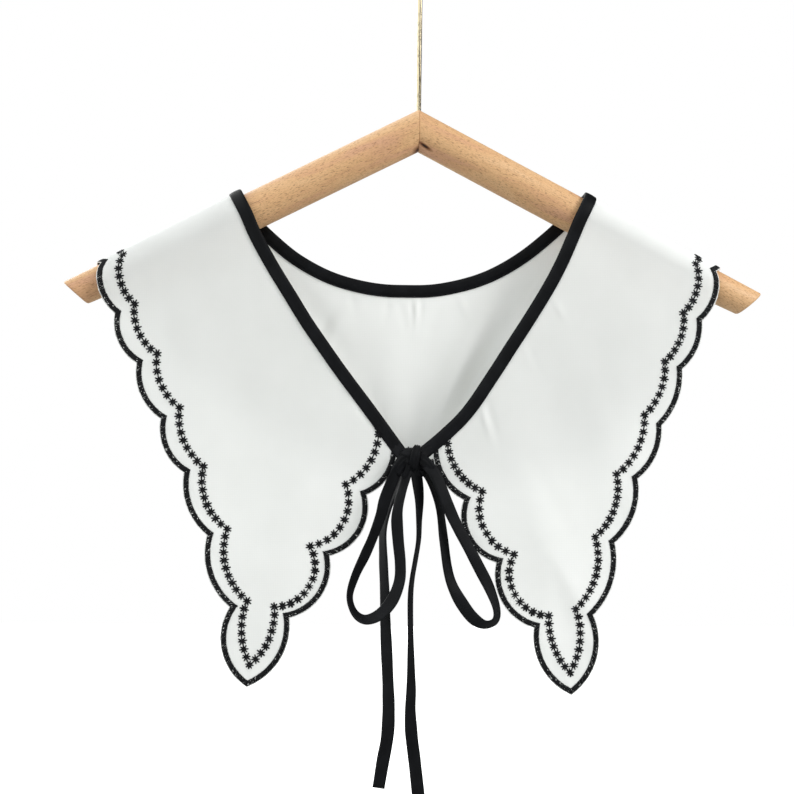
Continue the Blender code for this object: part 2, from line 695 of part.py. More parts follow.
def build():
    clear()
    cotton = material("white_cotton", (0.807, 0.815, 0.800), 0.85)
    satin = material("black_satin_tape", (0.008, 0.009, 0.011), 0.55)
    beech = material("oiled_beech", (0.755, 0.430, 0.220), 0.5)
    brass = material("brass_wire", (0.52, 0.42, 0.24), 0.28, 1.0)
    hook("hanger_hook", brass)
    arm("hanger_arm_left", -1.0, beech)
    arm("hanger_arm_right", 1.0, beech)
    _, left = leaf("collar_front_left", FRONT_LEFT, NECK_LEFT, FRONT_ROWS, -1.0, 1.0,
                   FRONT_FOLDS, True, CREST_STEPS, KEEP_LEFT, cotton)
    _, right = leaf("collar_front_right", FRONT_RIGHT, NECK_RIGHT, FRONT_ROWS, -1.0, 1.0,
                    FRONT_FOLDS, False, CREST_STEPS, KEEP_RIGHT, cotton)
    _, back = leaf("collar_back", BACK, NECK_BACK, BACK_ROWS, 1.0, -1.0,
                   BACK_FOLDS, False, ARC_STEPS, 1.0, cotton)
    binding("binding_front_left", left, -1.0, True, satin)
    binding("binding_front_right", right, -1.0, False, satin)
    binding("binding_back", back, 1.0, False, satin)
    knot("tie_knot", satin)
    tape("tie_loop_left", LOOP_LEFT, 2, satin)
    tape("tie_loop_right", LOOP_RIGHT, 2, satin)
    tape("tie_tail_left", TAIL_LEFT, 2, satin)
    tape("tie_tail_right", TAIL_RIGHT, 2, satin)


build()
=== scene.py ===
"""False collar on a round wooden hanger: cotton leaves, satin stitch, star stitches, tape and bow."""
import json
import random
from math import atan2, cos, dist, exp, hypot, pi, radians, sin, sqrt, tan

import bmesh
import bpy
from bpy.props import FloatProperty, FloatVectorProperty, IntProperty, PointerProperty
from mathutils import Matrix, Vector, noise

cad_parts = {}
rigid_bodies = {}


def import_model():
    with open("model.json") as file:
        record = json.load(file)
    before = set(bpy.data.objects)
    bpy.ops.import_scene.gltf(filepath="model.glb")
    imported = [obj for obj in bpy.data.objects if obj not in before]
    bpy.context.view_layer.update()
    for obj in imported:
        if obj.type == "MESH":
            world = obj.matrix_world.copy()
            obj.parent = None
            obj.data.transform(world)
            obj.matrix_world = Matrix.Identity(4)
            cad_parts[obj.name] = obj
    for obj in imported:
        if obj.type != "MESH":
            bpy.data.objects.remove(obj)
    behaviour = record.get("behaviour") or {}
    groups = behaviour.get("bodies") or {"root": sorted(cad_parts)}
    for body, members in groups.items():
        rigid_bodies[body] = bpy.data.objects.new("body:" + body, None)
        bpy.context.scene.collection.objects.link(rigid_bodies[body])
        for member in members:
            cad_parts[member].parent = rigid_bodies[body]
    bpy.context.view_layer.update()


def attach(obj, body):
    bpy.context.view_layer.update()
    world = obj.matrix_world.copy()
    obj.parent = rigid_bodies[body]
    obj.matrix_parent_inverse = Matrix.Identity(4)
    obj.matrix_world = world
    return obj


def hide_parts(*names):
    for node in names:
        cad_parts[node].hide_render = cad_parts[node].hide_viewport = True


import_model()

bl_info = {
    "name": "False collar on a hanger",
    "version": (1, 0, 0),
    "blender": (4, 5, 0),
    "location": "View3D > Sidebar > Collar",
    "description": "Dresses the false collar and its hanger with cloth, stitches, tape and wood",
    "category": "Object",
}

# Lengths are in millimetres here and turned to metres when a mesh is made
MM = 0.001
BODY = "root"

# Hanger
ARM_SLOPE = radians(27.0)
ARM_TOP_Z = -130.0
ARM_RADIUS = 12.0
ARM_SIDES = 112
ARM_LENGTH = 250.3
ARM_END_RADIUS = 9.3
END_SLANT = radians(22.0)
END_ROUND = 1.4
JOINT_HALF_GAP = 0.06
JOINT_CHAMFER = 0.2
WIRE_RADIUS = 1.6
WIRE_SIDES = 20
HOOK_RADIUS = 20.6
HOOK_CENTRE_Z = -19.0
HOOK_TIP_ANGLE = -22.0
HOOK_TURN_ANGLE = 240.0
STEM_DEPTH = 3.0
AXIS_Z = ARM_TOP_Z - ARM_RADIUS / cos(ARM_SLOPE)
SIN_A = sin(ARM_SLOPE)
COS_A = cos(ARM_SLOPE)

# Arm sections: distance along the top line, radius
ARM_SECTIONS = [
    (60.0, 12.0), (95.0, 12.0), (130.0, 12.0), (148.0, 11.85), (165.0, 11.6),
    (180.0, 11.2), (195.0, 10.8), (208.0, 10.45), (222.0, 10.1), (236.0, 9.7),
]

# Cloth over the arms
CLOTH_MIDDLE = 0.6
NECK_INNER_RADIUS = 14.5
SHOULDER_INNER_RADIUS = 12.8
NECK_X = 98.0
SHOULDER_X = 202.0
FRINGE_REACH = 3.75
RIB_PITCH = 2.0
COLUMNS = 48
BORDER_COLUMNS = 9
CUSP_INSET = 10.0
TIP_INSET = 6.0

# Satin-stitched edge and tape sizes
BAND_INNER = -0.2
BAND_OUTER = 3.25
BINDING_WIDTH = 8.2
BINDING_HIDES = 1.1
BINDING_STEP = 1.8
TIE_WIDTH = 8.0

# Middle line of the neck binding, laid flat: distance from the centre, height
NECK_LEFT = [
    (122.4, -172.2), (115.6, -185.5), (108.8, -198.9), (101.8, -214.5), (86.0, -241.5),
    (67.7, -269.9), (48.8, -296.5), (29.5, -321.7), (10.1, -347.7),
]
NECK_RIGHT = [
    (117.5, -169.7), (110.7, -183.0), (103.9, -196.4), (97.5, -211.5), (85.2, -238.5),
    (68.5, -266.5), (51.5, -293.5), (33.5, -320.8), (19.0, -336.0), (5.2, -348.2),
]
NECK_BACK = [
    (-122.4, -172.2), (-115.6, -185.5), (-106.9, -198.3), (-94.5, -211.0), (-77.0, -225.2),
    (-60.0, -234.6), (-41.5, -240.9), (-23.0, -244.2), (-4.0, -245.0), (14.0, -243.8),
    (32.5, -239.9), (51.5, -232.8), (70.0, -221.6), (86.0, -208.6), (98.6, -196.6),
    (110.7, -183.0), (117.5, -169.7),
]

# Scallops, laid flat: cusp distance from the centre, cusp height, bulge of the scallop
# that follows, share of the neck edge that the cloth's threads from this cusp reach
FRONT_LEFT = [
    (209.6, -196.8, 5.5, -0.10), (195.4, -227.7, 6.2, 0.03), (185.4, -261.9, 5.9, 0.12),
    (171.4, -292.3, 6.4, 0.20), (156.0, -327.0, 6.4, 0.28), (141.1, -360.3, 6.4, 0.36),
    (126.1, -399.8, 8.0, 0.44), (110.5, -445.0, 10.0, 0.52), (103.8, -491.7, 8.5, 0.58),
    (82.1, -449.5, 10.8, 0.66), (57.8, -410.6, 10.8, 0.77), (35.0, -372.8, 5.5, 0.87),
    (15.6, -346.0, 0.0, 0.95),
]
FRONT_RIGHT = [
    (202.0, -197.0, 5.0, -0.10), (187.4, -227.8, 5.3, 0.03), (177.9, -260.7, 4.6, 0.12),
    (165.4, -291.6, 4.6, 0.20), (152.6, -327.8, 5.2, 0.28), (137.4, -361.6, 6.4, 0.36),
    (123.2, -402.5, 7.0, 0.44), (109.5, -448.8, 8.8, 0.52), (100.1, -495.9, 7.8, 0.58),
    (80.0, -455.0, 10.8, 0.66), (56.0, -414.1, 11.0, 0.77), (35.0, -375.7, 5.5, 0.86),
    (14.1, -345.7, 0.0, 0.93),
]
BACK = [
    (-202.1, -214.6, 5.5, -0.10), (-185.5, -244.3, 5.7, 0.07), (-166.0, -267.5, 5.7, 0.14),
    (-142.0, -291.5, 5.7, 0.20), (-114.0, -313.0, 5.7, 0.27), (-83.0, -331.0, 5.7, 0.34),
    (-50.0, -343.5, 5.7, 0.41), (-17.0, -350.5, 5.7, 0.47), (17.0, -350.5, 5.7, 0.54),
    (50.0, -343.5, 5.7, 0.60), (82.0, -331.0, 5.7, 0.67), (112.0, -313.0, 5.7, 0.74),
    (139.0, -291.0, 5.7, 0.81), (162.5, -265.0, 5.7, 0.87), (181.1, -237.9, 5.0, 0.94),
    (197.5, -208.1, 0.0, 1.1),
]

# Corner stars, laid flat: distance from the centre, height, bulge of the row to the next
# corner star, stars between them
STARS_LEFT = [
    (185.5, -225.5, 5.2, 6), (177.0, -257.4, 5.0, 6), (162.5, -288.3, 5.2, 6),
    (148.2, -321.7, 5.4, 7), (132.9, -358.2, 6.4, 8), (117.6, -397.2, 7.2, 9),
    (104.6, -442.0, 4.2, 7), (102.6, -481.8, 5.0, 7), (87.6, -445.5, 12.4, 9),
    (65.6, -407.5, 10.4, 8), (43.7, -368.7, 6.4, 7), (23.9, -331.5, 0.0, 0),
]
STARS_RIGHT = [
    (177.6, -225.7, 4.6, 6), (169.5, -257.4, 4.3, 6), (157.6, -288.6, 4.3, 6),
    (145.0, -322.6, 5.2, 7), (127.7, -360.4, 5.8, 8), (114.6, -400.3, 6.8, 9),
    (102.5, -445.8, 4.7, 7), (99.4, -485.9, 3.9, 7), (85.5, -450.3, 12.0, 9),
    (62.7, -411.5, 9.5, 8), (42.1, -372.2, 6.2, 8), (19.6, -337.6, 0.0, 0),
]
BACK_STAR_INSET = 7.4
STAR_PITCH = 5.25
STAR_REACH = 2.9
RAY_HALF_WIDTH = 0.74
RAY_HEIGHT = 0.8
LINK_HALF_WIDTH = 0.26
LINK_HEIGHT = 0.46

# Soft folds: centre x, centre z, lean from upright in degrees, half length, half width, height
FRONT_FOLDS = [
    (-138.0, -300.0, -12.0, 62.0, 20.0, 1.8),
    (-100.0, -350.0, 24.0, 80.0, 22.0, -1.6),
    (-84.0, -408.0, 28.0, 52.0, 12.0, 2.0),
    (-98.0, -446.0, 20.0, 34.0, 9.0, -1.2),
    (132.0, -306.0, 10.0, 66.0, 22.0, 1.6),
    (96.0, -344.0, -26.0, 84.0, 20.0, -1.8),
    (88.0, -414.0, -22.0, 50.0, 13.0, 1.8),
    (97.0, -452.0, -16.0, 32.0, 8.0, -1.2),
]
BACK_FOLDS = [
    (3.0, -332.0, 6.0, 24.0, 8.0, 1.5),
    (-12.0, -320.0, -8.0, 34.0, 11.0, -1.1),
    (-34.0, -290.0, -18.0, 34.0, 14.0, 1.1),
    (28.0, -299.0, 26.0, 40.0, 6.0, -3.8),
    (42.0, -302.0, 28.0, 46.0, 8.0, 6.2),
    (84.0, -280.0, 38.0, 44.0, 12.0, -1.6),
    (-58.0, -268.0, -34.0, 30.0, 8.0, 1.8),
    (-92.0, -284.0, -40.0, 46.0, 14.0, -1.6),
    (-132.0, -262.0, -44.0, 36.0, 14.0, 1.6),
    (134.0, -262.0, 44.0, 36.0, 14.0, 1.6),
]
# Small creases on top of them, same columns
FRONT_CREASES = [
    (-103.0, -425.0, 40.0, 26.0, 4.5, 0.55),
    (-112.0, -418.0, 44.0, 20.0, 4.0, -0.4),
    (-166.0, -250.0, 4.0, 18.0, 4.5, 0.3),
    (-158.0, -262.0, -6.0, 22.0, 5.0, -0.3),
    (-60.0, -352.0, 34.0, 30.0, 6.0, 0.45),
    (-128.0, -340.0, 30.0, 34.0, 7.0, -0.4),
    (-48.0, -318.0, 38.0, 22.0, 5.0, -0.35),
    (98.0, -430.0, -34.0, 26.0, 4.5, 0.5),
    (84.0, -372.0, -30.0, 30.0, 6.5, -0.45),
    (43.0, -325.0, -17.0, 11.0, 2.3, 0.9),
    (47.5, -325.0, -15.0, 13.0, 2.8, -0.6),
    (69.0, -285.0, -40.0, 7.0, 2.2, 0.7),
    (72.0, -287.0, -38.0, 9.0, 2.4, -0.4),
    (89.5, -256.5, -35.0, 7.0, 2.4, 0.5),
    (150.0, -262.0, 8.0, 24.0, 6.0, 0.35),
    (120.0, -300.0, -14.0, 36.0, 7.0, -0.35),
]
BACK_CREASES = [
    (-1.6, -255.0, -5.0, 8.0, 1.6, 0.7),
    (1.5, -256.0, 2.0, 11.0, 1.5, -0.8),
    (4.6, -254.0, 9.0, 8.0, 1.6, 0.7),
    (-8.0, -258.0, -12.0, 11.0, 3.0, 0.45),
    (-17.0, -254.0, 14.0, 9.0, 2.6, 0.5),
    (-40.0, -251.0, -12.0, 8.0, 2.6, 0.45),
    (31.0, -252.0, -24.0, 9.0, 2.6, -0.5),
    (12.0, -268.0, 16.0, 20.0, 4.0, 0.4),
    (-59.0, -270.0, 34.0, 10.0, 4.0, 1.0),
    (-53.0, -276.0, 28.0, 14.0, 4.0, -0.6),
    (18.0, -318.0, 20.0, 22.0, 4.0, 0.6),
    (-22.0, -326.0, -16.0, 20.0, 5.0, 0.5),
    (112.0, -284.0, 40.0, 26.0, 6.0, 0.5),
    (-112.0, -288.0, -42.0, 28.0, 6.0, 0.5),
]

# Bow: x, y, z of the tape's middle line and its turn out of the front view in degrees
LOOP_LEFT = [
    (-10.9, -21.0, -356.2, 44.0), (-15.4, -22.5, -366.4, 17.0), (-19.6, -23.5, -377.6, 17.0),
    (-22.3, -24.0, -388.2, 29.0), (-27.1, -24.5, -401.4, 37.0), (-31.9, -25.0, -412.6, 37.0),
    (-37.4, -25.5, -424.5, 44.0), (-40.8, -26.0, -436.3, 60.0), (-39.4, -26.5, -444.7, 64.0),
    (-35.2, -27.0, -450.3, 56.0), (-29.2, -27.0, -451.8, 44.0), (-21.2, -26.5, -448.0, 29.0),
    (-14.1, -26.0, -439.3, 24.0), (-10.0, -25.5, -428.0, 33.0), (-9.6, -25.0, -416.8, 33.0),
    (-11.0, -24.0, -403.1, 29.0), (-11.9, -23.0, -390.0, 29.0), (-11.1, -22.0, -381.3, 44.0),
    (-8.7, -21.2, -371.3, 50.0), (-6.3, -20.6, -363.2, 50.0), (-5.2, -20.4, -359.2, 50.0),
]
LOOP_RIGHT = [
    (6.8, -21.0, -355.4, 22.0), (11.6, -22.5, -361.3, 20.0), (15.8, -24.0, -370.4, 22.0),
    (20.9, -25.0, -383.5, 17.0), (25.7, -25.5, -393.4, 24.0), (32.1, -26.0, -405.2, 24.0),
    (39.5, -26.5, -418.9, 17.0), (46.3, -27.0, -432.0, 29.0), (50.8, -27.5, -444.5, 50.0),
    (50.0, -28.0, -452.0, 52.0), (43.7, -28.0, -454.5, 46.0), (36.5, -27.5, -450.8, 17.0),
    (29.5, -26.5, -442.1, 0.0), (23.3, -25.0, -430.9, -29.0), (20.1, -23.5, -419.7, -37.0),
    (17.7, -21.5, -402.2, -47.0), (15.5, -19.5, -384.8, -50.0), (12.6, -18.6, -373.6, -50.0),
    (9.0, -18.0, -364.9, -50.0), (4.35, -17.6, -357.85, -50.0),
]
TAIL_LEFT = [
    (-6.2, -13.2, -359.6, -61.0), (-12.1, -13.2, -371.8, -61.0), (-17.0, -13.6, -383.1, -61.0),
    (-20.0, -14.4, -397.0, -61.0), (-19.6, -15.4, -415.8, -54.0), (-18.6, -16.4, -434.7, -47.0),
    (-18.0, -17.2, -453.5, -41.0), (-17.0, -17.4, -472.0, -28.0), (-15.7, -17.2, -495.3, -21.0),
    (-15.2, -17.0, -510.6, -10.0), (-15.8, -16.8, -526.3, 0.0), (-18.4, -16.6, -542.0, 0.0),
    (-20.9, -16.4, -558.5, 0.0),
]
TAIL_RIGHT = [
    (-0.4, -18.4, -359.4, 24.0), (1.0, -18.6, -366.4, 26.0), (2.3, -18.8, -377.7, 44.0),
    (2.3, -19.0, -390.0, 60.0), (2.1, -19.0, -402.7, 66.0), (0.3, -18.8, -415.3, 67.0),
    (-1.7, -18.6, -427.8, 67.0), (-2.5, -18.4, -440.3, 64.0), (-2.0, -18.2, -465.4, 60.0),
    (-1.3, -18.0, -494.5, 41.0), (-1.6, -17.6, -509.8, 24.0), (-0.6, -17.2, -525.4, 8.0),
    (1.5, -17.0, -541.1, 0.0), (4.0, -16.8, -561.7, 0.0), (4.9, -16.8, -571.0, 0.0),
]
KNOT_CENTRE = (-3.4, -18.3, -351.1)
KNOT_HALF = (7.4, 4.6, 6.4)
WRAP_CENTRE = (-0.6, -18.7, -351.2)
WRAP_LEAN = 1.3
WRAP_HEIGHT = 7.3
WRAP_DEPTH = 5.6
# Ends of the tape that run into the knot: x, y, z, half width, half depth
KNOT_STRIPS = [
    [(-13.1, -15.4, -343.7, 4.0, 0.9), (-10.1, -16.3, -347.7, 4.05, 1.8), (-6.8, -17.6, -350.6, 3.9, 2.6),
     (-3.5, -18.6, -352.3, 3.2, 2.6)],
    [(9.7, -15.4, -344.2, 4.0, 0.9), (5.2, -16.3, -348.2, 4.0, 1.7), (1.8, -17.8, -350.8, 3.6, 2.4),
     (-1.5, -18.8, -352.2, 3.0, 2.6)],
    [(-13.2, -21.8, -361.0, 3.5, 0.5), (-10.9, -21.0, -356.2, 3.7, 1.5), (-8.0, -20.0, -352.6, 3.8, 2.3),
     (-4.6, -19.2, -350.6, 3.2, 2.6)],
    [(-6.5, -20.7, -363.8, 2.8, 0.5), (-5.2, -20.5, -359.2, 3.0, 1.4), (-4.3, -20.1, -355.4, 3.2, 2.2),
     (-3.4, -19.2, -352.0, 3.0, 2.6)],
    [(9.4, -21.8, -358.7, 3.7, 0.5), (6.8, -21.0, -355.4, 3.9, 1.5), (3.4, -20.2, -352.6, 3.8, 2.2),
     (0.2, -19.4, -350.6, 3.0, 2.6)],
    [(6.8, -17.8, -361.6, 3.0, 0.5), (4.3, -17.8, -357.8, 3.2, 1.5), (2.0, -18.0, -354.6, 3.3, 2.2),
     (0.0, -18.4, -352.0, 3.0, 2.4)],
    [(0.1, -18.5, -363.0, 3.5, 0.5), (-0.4, -18.5, -359.4, 3.6, 1.4), (-0.8, -18.8, -355.6, 3.5, 2.2),
     (-1.2, -19.0, -352.4, 3.0, 2.6)],
    [(-8.2, -13.2, -363.6, 1.9, 0.5), (-6.2, -13.4, -359.6, 2.2, 1.3), (-4.6, -14.8, -355.8, 2.6, 2.1),
     (-3.0, -16.6, -352.4, 2.8, 2.6)],
]


def linear(hex_text):
    """sRGB hex to a linear colour with full alpha."""
    out = []
    for i in (0, 2, 4):
        v = int(hex_text[i:i + 2], 16) / 255
        out.append(v / 12.92 if v <= 0.04045 else ((v + 0.055) / 1.055) ** 2.4)
    return (*out, 1.0)


# Lines, folds and the way the cloth lies

def smooth_point(rows, t):
    """Point on a smooth line through the rows, t from 0 to the row count less one."""
    last = len(rows) - 1
    i = min(max(int(t), 0), last - 1)
    u = t - i
    b, c = rows[i], rows[i + 1]
    a = rows[i - 1] if i > 0 else tuple(2 * p - q for p, q in zip(b, c))
    d = rows[i + 2] if i + 2 <= last else tuple(2 * q - p for p, q in zip(b, c))
    out = []
    for p0, p1, p2, p3 in zip(a, b, c, d):
        out.append(
            0.5 * (2 * p1 + (p2 - p0) * u
                   + (2 * p0 - 5 * p1 + 4 * p2 - p3) * u * u
                   + (3 * p1 - p0 - 3 * p2 + p3) * u ** 3)
        )
    return tuple(out)


class Line:
    """Smooth flat line through rows of x and z, measured by its length."""

    def __init__(self, rows):
        self.steps = 24 * (len(rows) - 1)
        self.points = [smooth_point(rows, i / 24) for i in range(self.steps + 1)]
        self.length = [0.0]
        for p, q in zip(self.points, self.points[1:]):
            self.length.append(self.length[-1] + dist(p, q))

    def at(self, distance):
        low, high = 0, self.steps - 1
        while low < high:
            mid = (low + high) // 2
            if self.length[mid + 1] >= distance:
                high = mid
            else:
                low = mid + 1
        span = self.length[low + 1] - self.length[low]
        u = (distance - self.length[low]) / span
        p, q = self.points[low], self.points[low + 1]
        tx, tz = (q[0] - p[0]) / span, (q[1] - p[1]) / span
        return (p[0] + (q[0] - p[0]) * u, p[1] + (q[1] - p[1]) * u), (tx, tz)

    def cut(self, inside):
        """Distance along the line where inside(x, z) first becomes true."""
        for i, p in enumerate(self.points):
            if inside(*p):
                low, high = self.length[i - 1], self.length[i]
                for _ in range(30):
                    mid = (low + high) / 2
                    if inside(*self.at(mid)[0]):
                        high = mid
                    else:
                        low = mid
                return high
        return 0.0


def unit(x, z):
    size = hypot(x, z)
    return (x / size, z / size)


def inner_radius(foot_x):
    """Radius of the cloth's inner face over the arm; the cloth lies closer towards the shoulder."""
    t = min(max((foot_x - NECK_X) / (SHOULDER_X - NECK_X), 0.0), 1.0)
    return NECK_INNER_RADIUS + (SHOULDER_INNER_RADIUS - NECK_INNER_RADIUS) * t


def above_axis(x, z):
    """Flat distance above the arm's axis and the axis point under it."""
    d = abs(x) * SIN_A + (z - AXIS_Z) * COS_A
    return d, abs(x) - max(d, 0.0) * SIN_A, z - max(d, 0.0) * COS_A


def crest(x, z):
    """Flat distance from this point up to the top line of the arm."""
    d, foot_x, _ = above_axis(x, z)
    return (inner_radius(foot_x) + CLOTH_MIDDLE) * pi / 2 - d


def crest_direction(x):
    """Flat direction of the top line of the arm, away from the neck."""
    fall = (SHOULDER_INNER_RADIUS - NECK_INNER_RADIUS) / (SHOULDER_X - NECK_X) * pi / 2
    dx, dz = unit(COS_A + fall * SIN_A, -SIN_A + fall * COS_A)
    return (dx if x >= 0 else -dx, dz)


def fold_height(table, x, z):
    """Height of all the table's soft ridges and troughs at a flat place."""
    total = 0.0
    for cx, cz, lean, half_length, half_width, height in table:
        dx, dz = x - cx, z - cz
        if abs(dx) + abs(dz) > 3.2 * half_length:
            continue
        c, s = cos(radians(lean)), sin(radians(lean))
        along = (dx * s + dz * c) / half_length
        across = (dx * c - dz * s) / half_width
        total += height * exp(-along * along - across * across)
    return total


def relief(facing, x, z):
    """How far the cloth stands out of its plain lay: folds, creases and a faint ripple."""
    d = abs(x) * SIN_A + (z - AXIS_Z) * COS_A
    calm = min(max((-d - 16.0) / 26.0, 0.0), 1.0)
    calm = calm * calm * (3 - 2 * calm)
    big, small = (FRONT_FOLDS, FRONT_CREASES) if facing < 0 else (BACK_FOLDS, BACK_CREASES)
    ripple = noise.noise(Vector((x / 46.0, z / 60.0, 3.0 * facing))) * 0.55
    ripple += noise.noise(Vector((x / 17.0, z / 24.0, 9.0 + facing))) * 0.16
    near = min(max((-d + 6.0) / 20.0, 0.0), 1.0)
    return calm * fold_height(big, x, z) + near * (calm * ripple + fold_height(small, x, z))


def lay(facing, x, z, out, ease=1.0):
    """Flat cloth point to its place over the arm; out is measured from the inner face."""
    d, foot_x, foot_z = above_axis(x, z)
    inner = inner_radius(foot_x)
    sign = 1.0 if x >= 0 else -1.0
    rise = ease * relief(facing, x, z) if ease else 0.0
    if d <= 0:
        return (x, facing * (inner + out + rise), z)
    angle = d / (inner + CLOTH_MIDDLE)
    radius = inner + out + rise
    up = radius * sin(angle)
    return (sign * (foot_x + up * SIN_A), facing * radius * cos(angle), foot_z + up * COS_A)


def circle(a, b, bulge, turn):
    """Centre and radius of the scallop from cusp a to cusp b."""
    dx, dz = b[0] - a[0], b[1] - a[1]
    half = hypot(dx, dz) / 2
    radius = (half * half + bulge * bulge) / (2 * bulge)
    nx, nz = -dz / (2 * half) * turn, dx / (2 * half) * turn
    back = radius - bulge
    return ((a[0] + b[0]) / 2 - nx * back, (a[1] + b[1]) / 2 - nz * back, radius)


def meet(one, two, near):
    """Point where two circles cross, the crossing nearer to the given point."""
    dx, dz = unit(two[0] - one[0], two[1] - one[1])
    apart = dist(one[:2], two[:2])
    along = (one[2] ** 2 - two[2] ** 2 + apart * apart) / (2 * apart)
    rise = sqrt(max(one[2] ** 2 - along * along, 0.0))
    mx, mz = one[0] + along * dx, one[1] + along * dz
    options = [(mx - rise * dz, mz + rise * dx), (mx + rise * dz, mz - rise * dx)]
    return min(options, key=lambda p: dist(p, near[:2]))


def arc_span(ring, a, b):
    """Angle where the arc from a to b starts and its turn, the short way round."""
    start = atan2(a[1] - ring[1], a[0] - ring[0])
    span = atan2(b[1] - ring[1], b[0] - ring[0]) - start
    return start, (span + pi) % (2 * pi) - pi


def arc(ring, a, b, steps):
    """Points of the circle from a to b, the short way round."""
    start, span = arc_span(ring, a, b)
    return [(ring[0] + ring[2] * cos(start + span * i / steps),
             ring[1] + ring[2] * sin(start + span * i / steps)) for i in range(steps + 1)]


def shorten(ring, a, b):
    """End of the arc from b towards a where it reaches the top line of the arm."""
    for p in arc(ring, b, a, 400):
        if crest(*p) < 0:
            return p
    return a


def scallop_arcs(table, turn, grow, keep=1.0):
    """Each scallop as its circle, start and end, grown outwards by the given width.

    Keep is the share of the last scallop that is made, where it ends at the neck.
    """
    rings = []
    for one, two in zip(table, table[1:]):
        cx, cz, radius = circle(one, two, one[2], turn)
        rings.append((cx, cz, radius + grow))
    corners = [meet(rings[i - 1], rings[i], table[i]) for i in range(1, len(rings))]
    first = shorten(rings[0], table[0], corners[0])
    ring, last = rings[-1], table[-1]
    if crest(last[0], last[1]) < 0:
        end = shorten(ring, last, corners[-1])
    else:
        gap = dist(last[:2], ring[:2])
        end = (ring[0] + (last[0] - ring[0]) * ring[2] / gap,
               ring[1] + (last[1] - ring[1]) * ring[2] / gap)
        end = arc(ring, corners[-1], end, 100)[round(100 * keep)]
    corners = [first] + corners + [end]
    return [(ring, corners[i], corners[i + 1]) for i, ring in enumerate(rings)]


def arc_length(ring, a, b):
    return abs(arc_span(ring, a, b)[1]) * ring[2]


def inner_corners(arcs, last_way):
    """At each cusp: the flat direction into the cloth and how far in the inner line runs."""
    squares = []
    for ring, a, b in arcs:
        way = unit(b[0] - a[0], b[1] - a[1])
        square = (-way[1], way[0])
        if square[0] * (ring[0] - a[0]) + square[1] * (ring[1] - a[1]) < 0:
            square = (way[1], -way[0])
        squares.append(square)
    first = crest_direction(arcs[0][1][0])
    corners = [((-first[0], -first[1]), CUSP_INSET)]
    for one, two in zip(squares, squares[1:]):
        depth = CUSP_INSET if one[0] * two[0] + one[1] * two[1] > 0 else TIP_INSET
        corners.append((unit(one[0] + two[0], one[1] + two[1]), depth))
    return corners + [(last_way, CUSP_INSET)]


def inner_point(a, b, corner_a, corner_b, share, limit):
    """Point of the inner line beside the scallop from a to b."""
    (way_a, depth_a), (way_b, depth_b) = corner_a, corner_b
    way = unit(way_a[0] + (way_b[0] - way_a[0]) * share, way_a[1] + (way_b[1] - way_a[1]) * share)
    depth = min(depth_a + (depth_b - depth_a) * share, limit)
    return (a[0] + (b[0] - a[0]) * share + way[0] * depth, a[1] + (b[1] - a[1]) * share + way[1] * depth)


def neck_span(rows):
    """The neck line and the distances where it leaves and meets the top line of the arm."""
    line = Line(rows)
    start = line.cut(lambda x, z: crest(x, z) >= 0)
    end = line.length[-1]
    if crest(*rows[-1]) < 0:
        end -= Line(rows[::-1]).cut(lambda x, z: crest(x, z) >= 0)
    return line, start, end


def neck_station(line, distance, turn):
    """Point of the neck edge and the flat direction from the opening into the cloth."""
    (x, z), (tx, tz) = line.at(distance)
    nx, nz = -tz * turn, tx * turn
    near = max(0.0, 1.0 - abs(crest(x, z)) / 9.0)
    cx, cz = crest_direction(x)
    return (x, z), unit(nx + (cx - nx) * near, nz + (cz - nz) * near)


LEAVES = {
    "left": dict(table=FRONT_LEFT, neck=NECK_LEFT, facing=-1.0, turn=1.0, sign=-1.0, keep=0.88),
    "right": dict(table=FRONT_RIGHT, neck=NECK_RIGHT, facing=-1.0, turn=1.0, sign=1.0, keep=0.93),
    "back": dict(table=BACK, neck=NECK_BACK, facing=1.0, turn=-1.0, sign=1.0, keep=1.0),
}


# Meshes

def face_outwards(mesh, recalculate=True):
    """Turns a closed mesh's faces outwards, first each to agree with its neighbours if asked."""
    work = bmesh.new()
    work.from_mesh(mesh)
    if recalculate:
        bmesh.ops.recalc_face_normals(work, faces=work.faces)
    if work.calc_volume(signed=True) < 0:
        bmesh.ops.reverse_faces(work, faces=work.faces)
    work.to_mesh(mesh)
    work.free()


def make_piece(name, points, faces, material, uvs=None, tones=None, closed=True):
    """A smooth piece from points in millimetres, its place in its mesh, its faces outwards if closed."""
    mesh = bpy.data.meshes.new(name)
    mesh.from_pydata([(x * MM, y * MM, z * MM) for x, y, z in points], [], faces)
    if uvs:
        layer = mesh.uv_layers.new(name="lay")
        layer.data.foreach_set("uv", [c for face in uvs for corner in face for c in corner])
    if tones:
        mesh.attributes.new("tone", "FLOAT", "POINT").data.foreach_set("value", tones)
    if closed:
        face_outwards(mesh)
    mesh.materials.append(material)
    mesh.polygons.foreach_set("use_smooth", [True] * len(mesh.polygons))
    piece = bpy.data.objects.new(name, mesh)
    bpy.context.scene.collection.objects.link(piece)
    return piece


def finish_piece(piece, slot, *nodes):
    """Gives a piece its body and hides the solids that it stands for; the slot is not used."""
    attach(piece, BODY)
    if nodes:
        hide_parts(*nodes)
    return piece


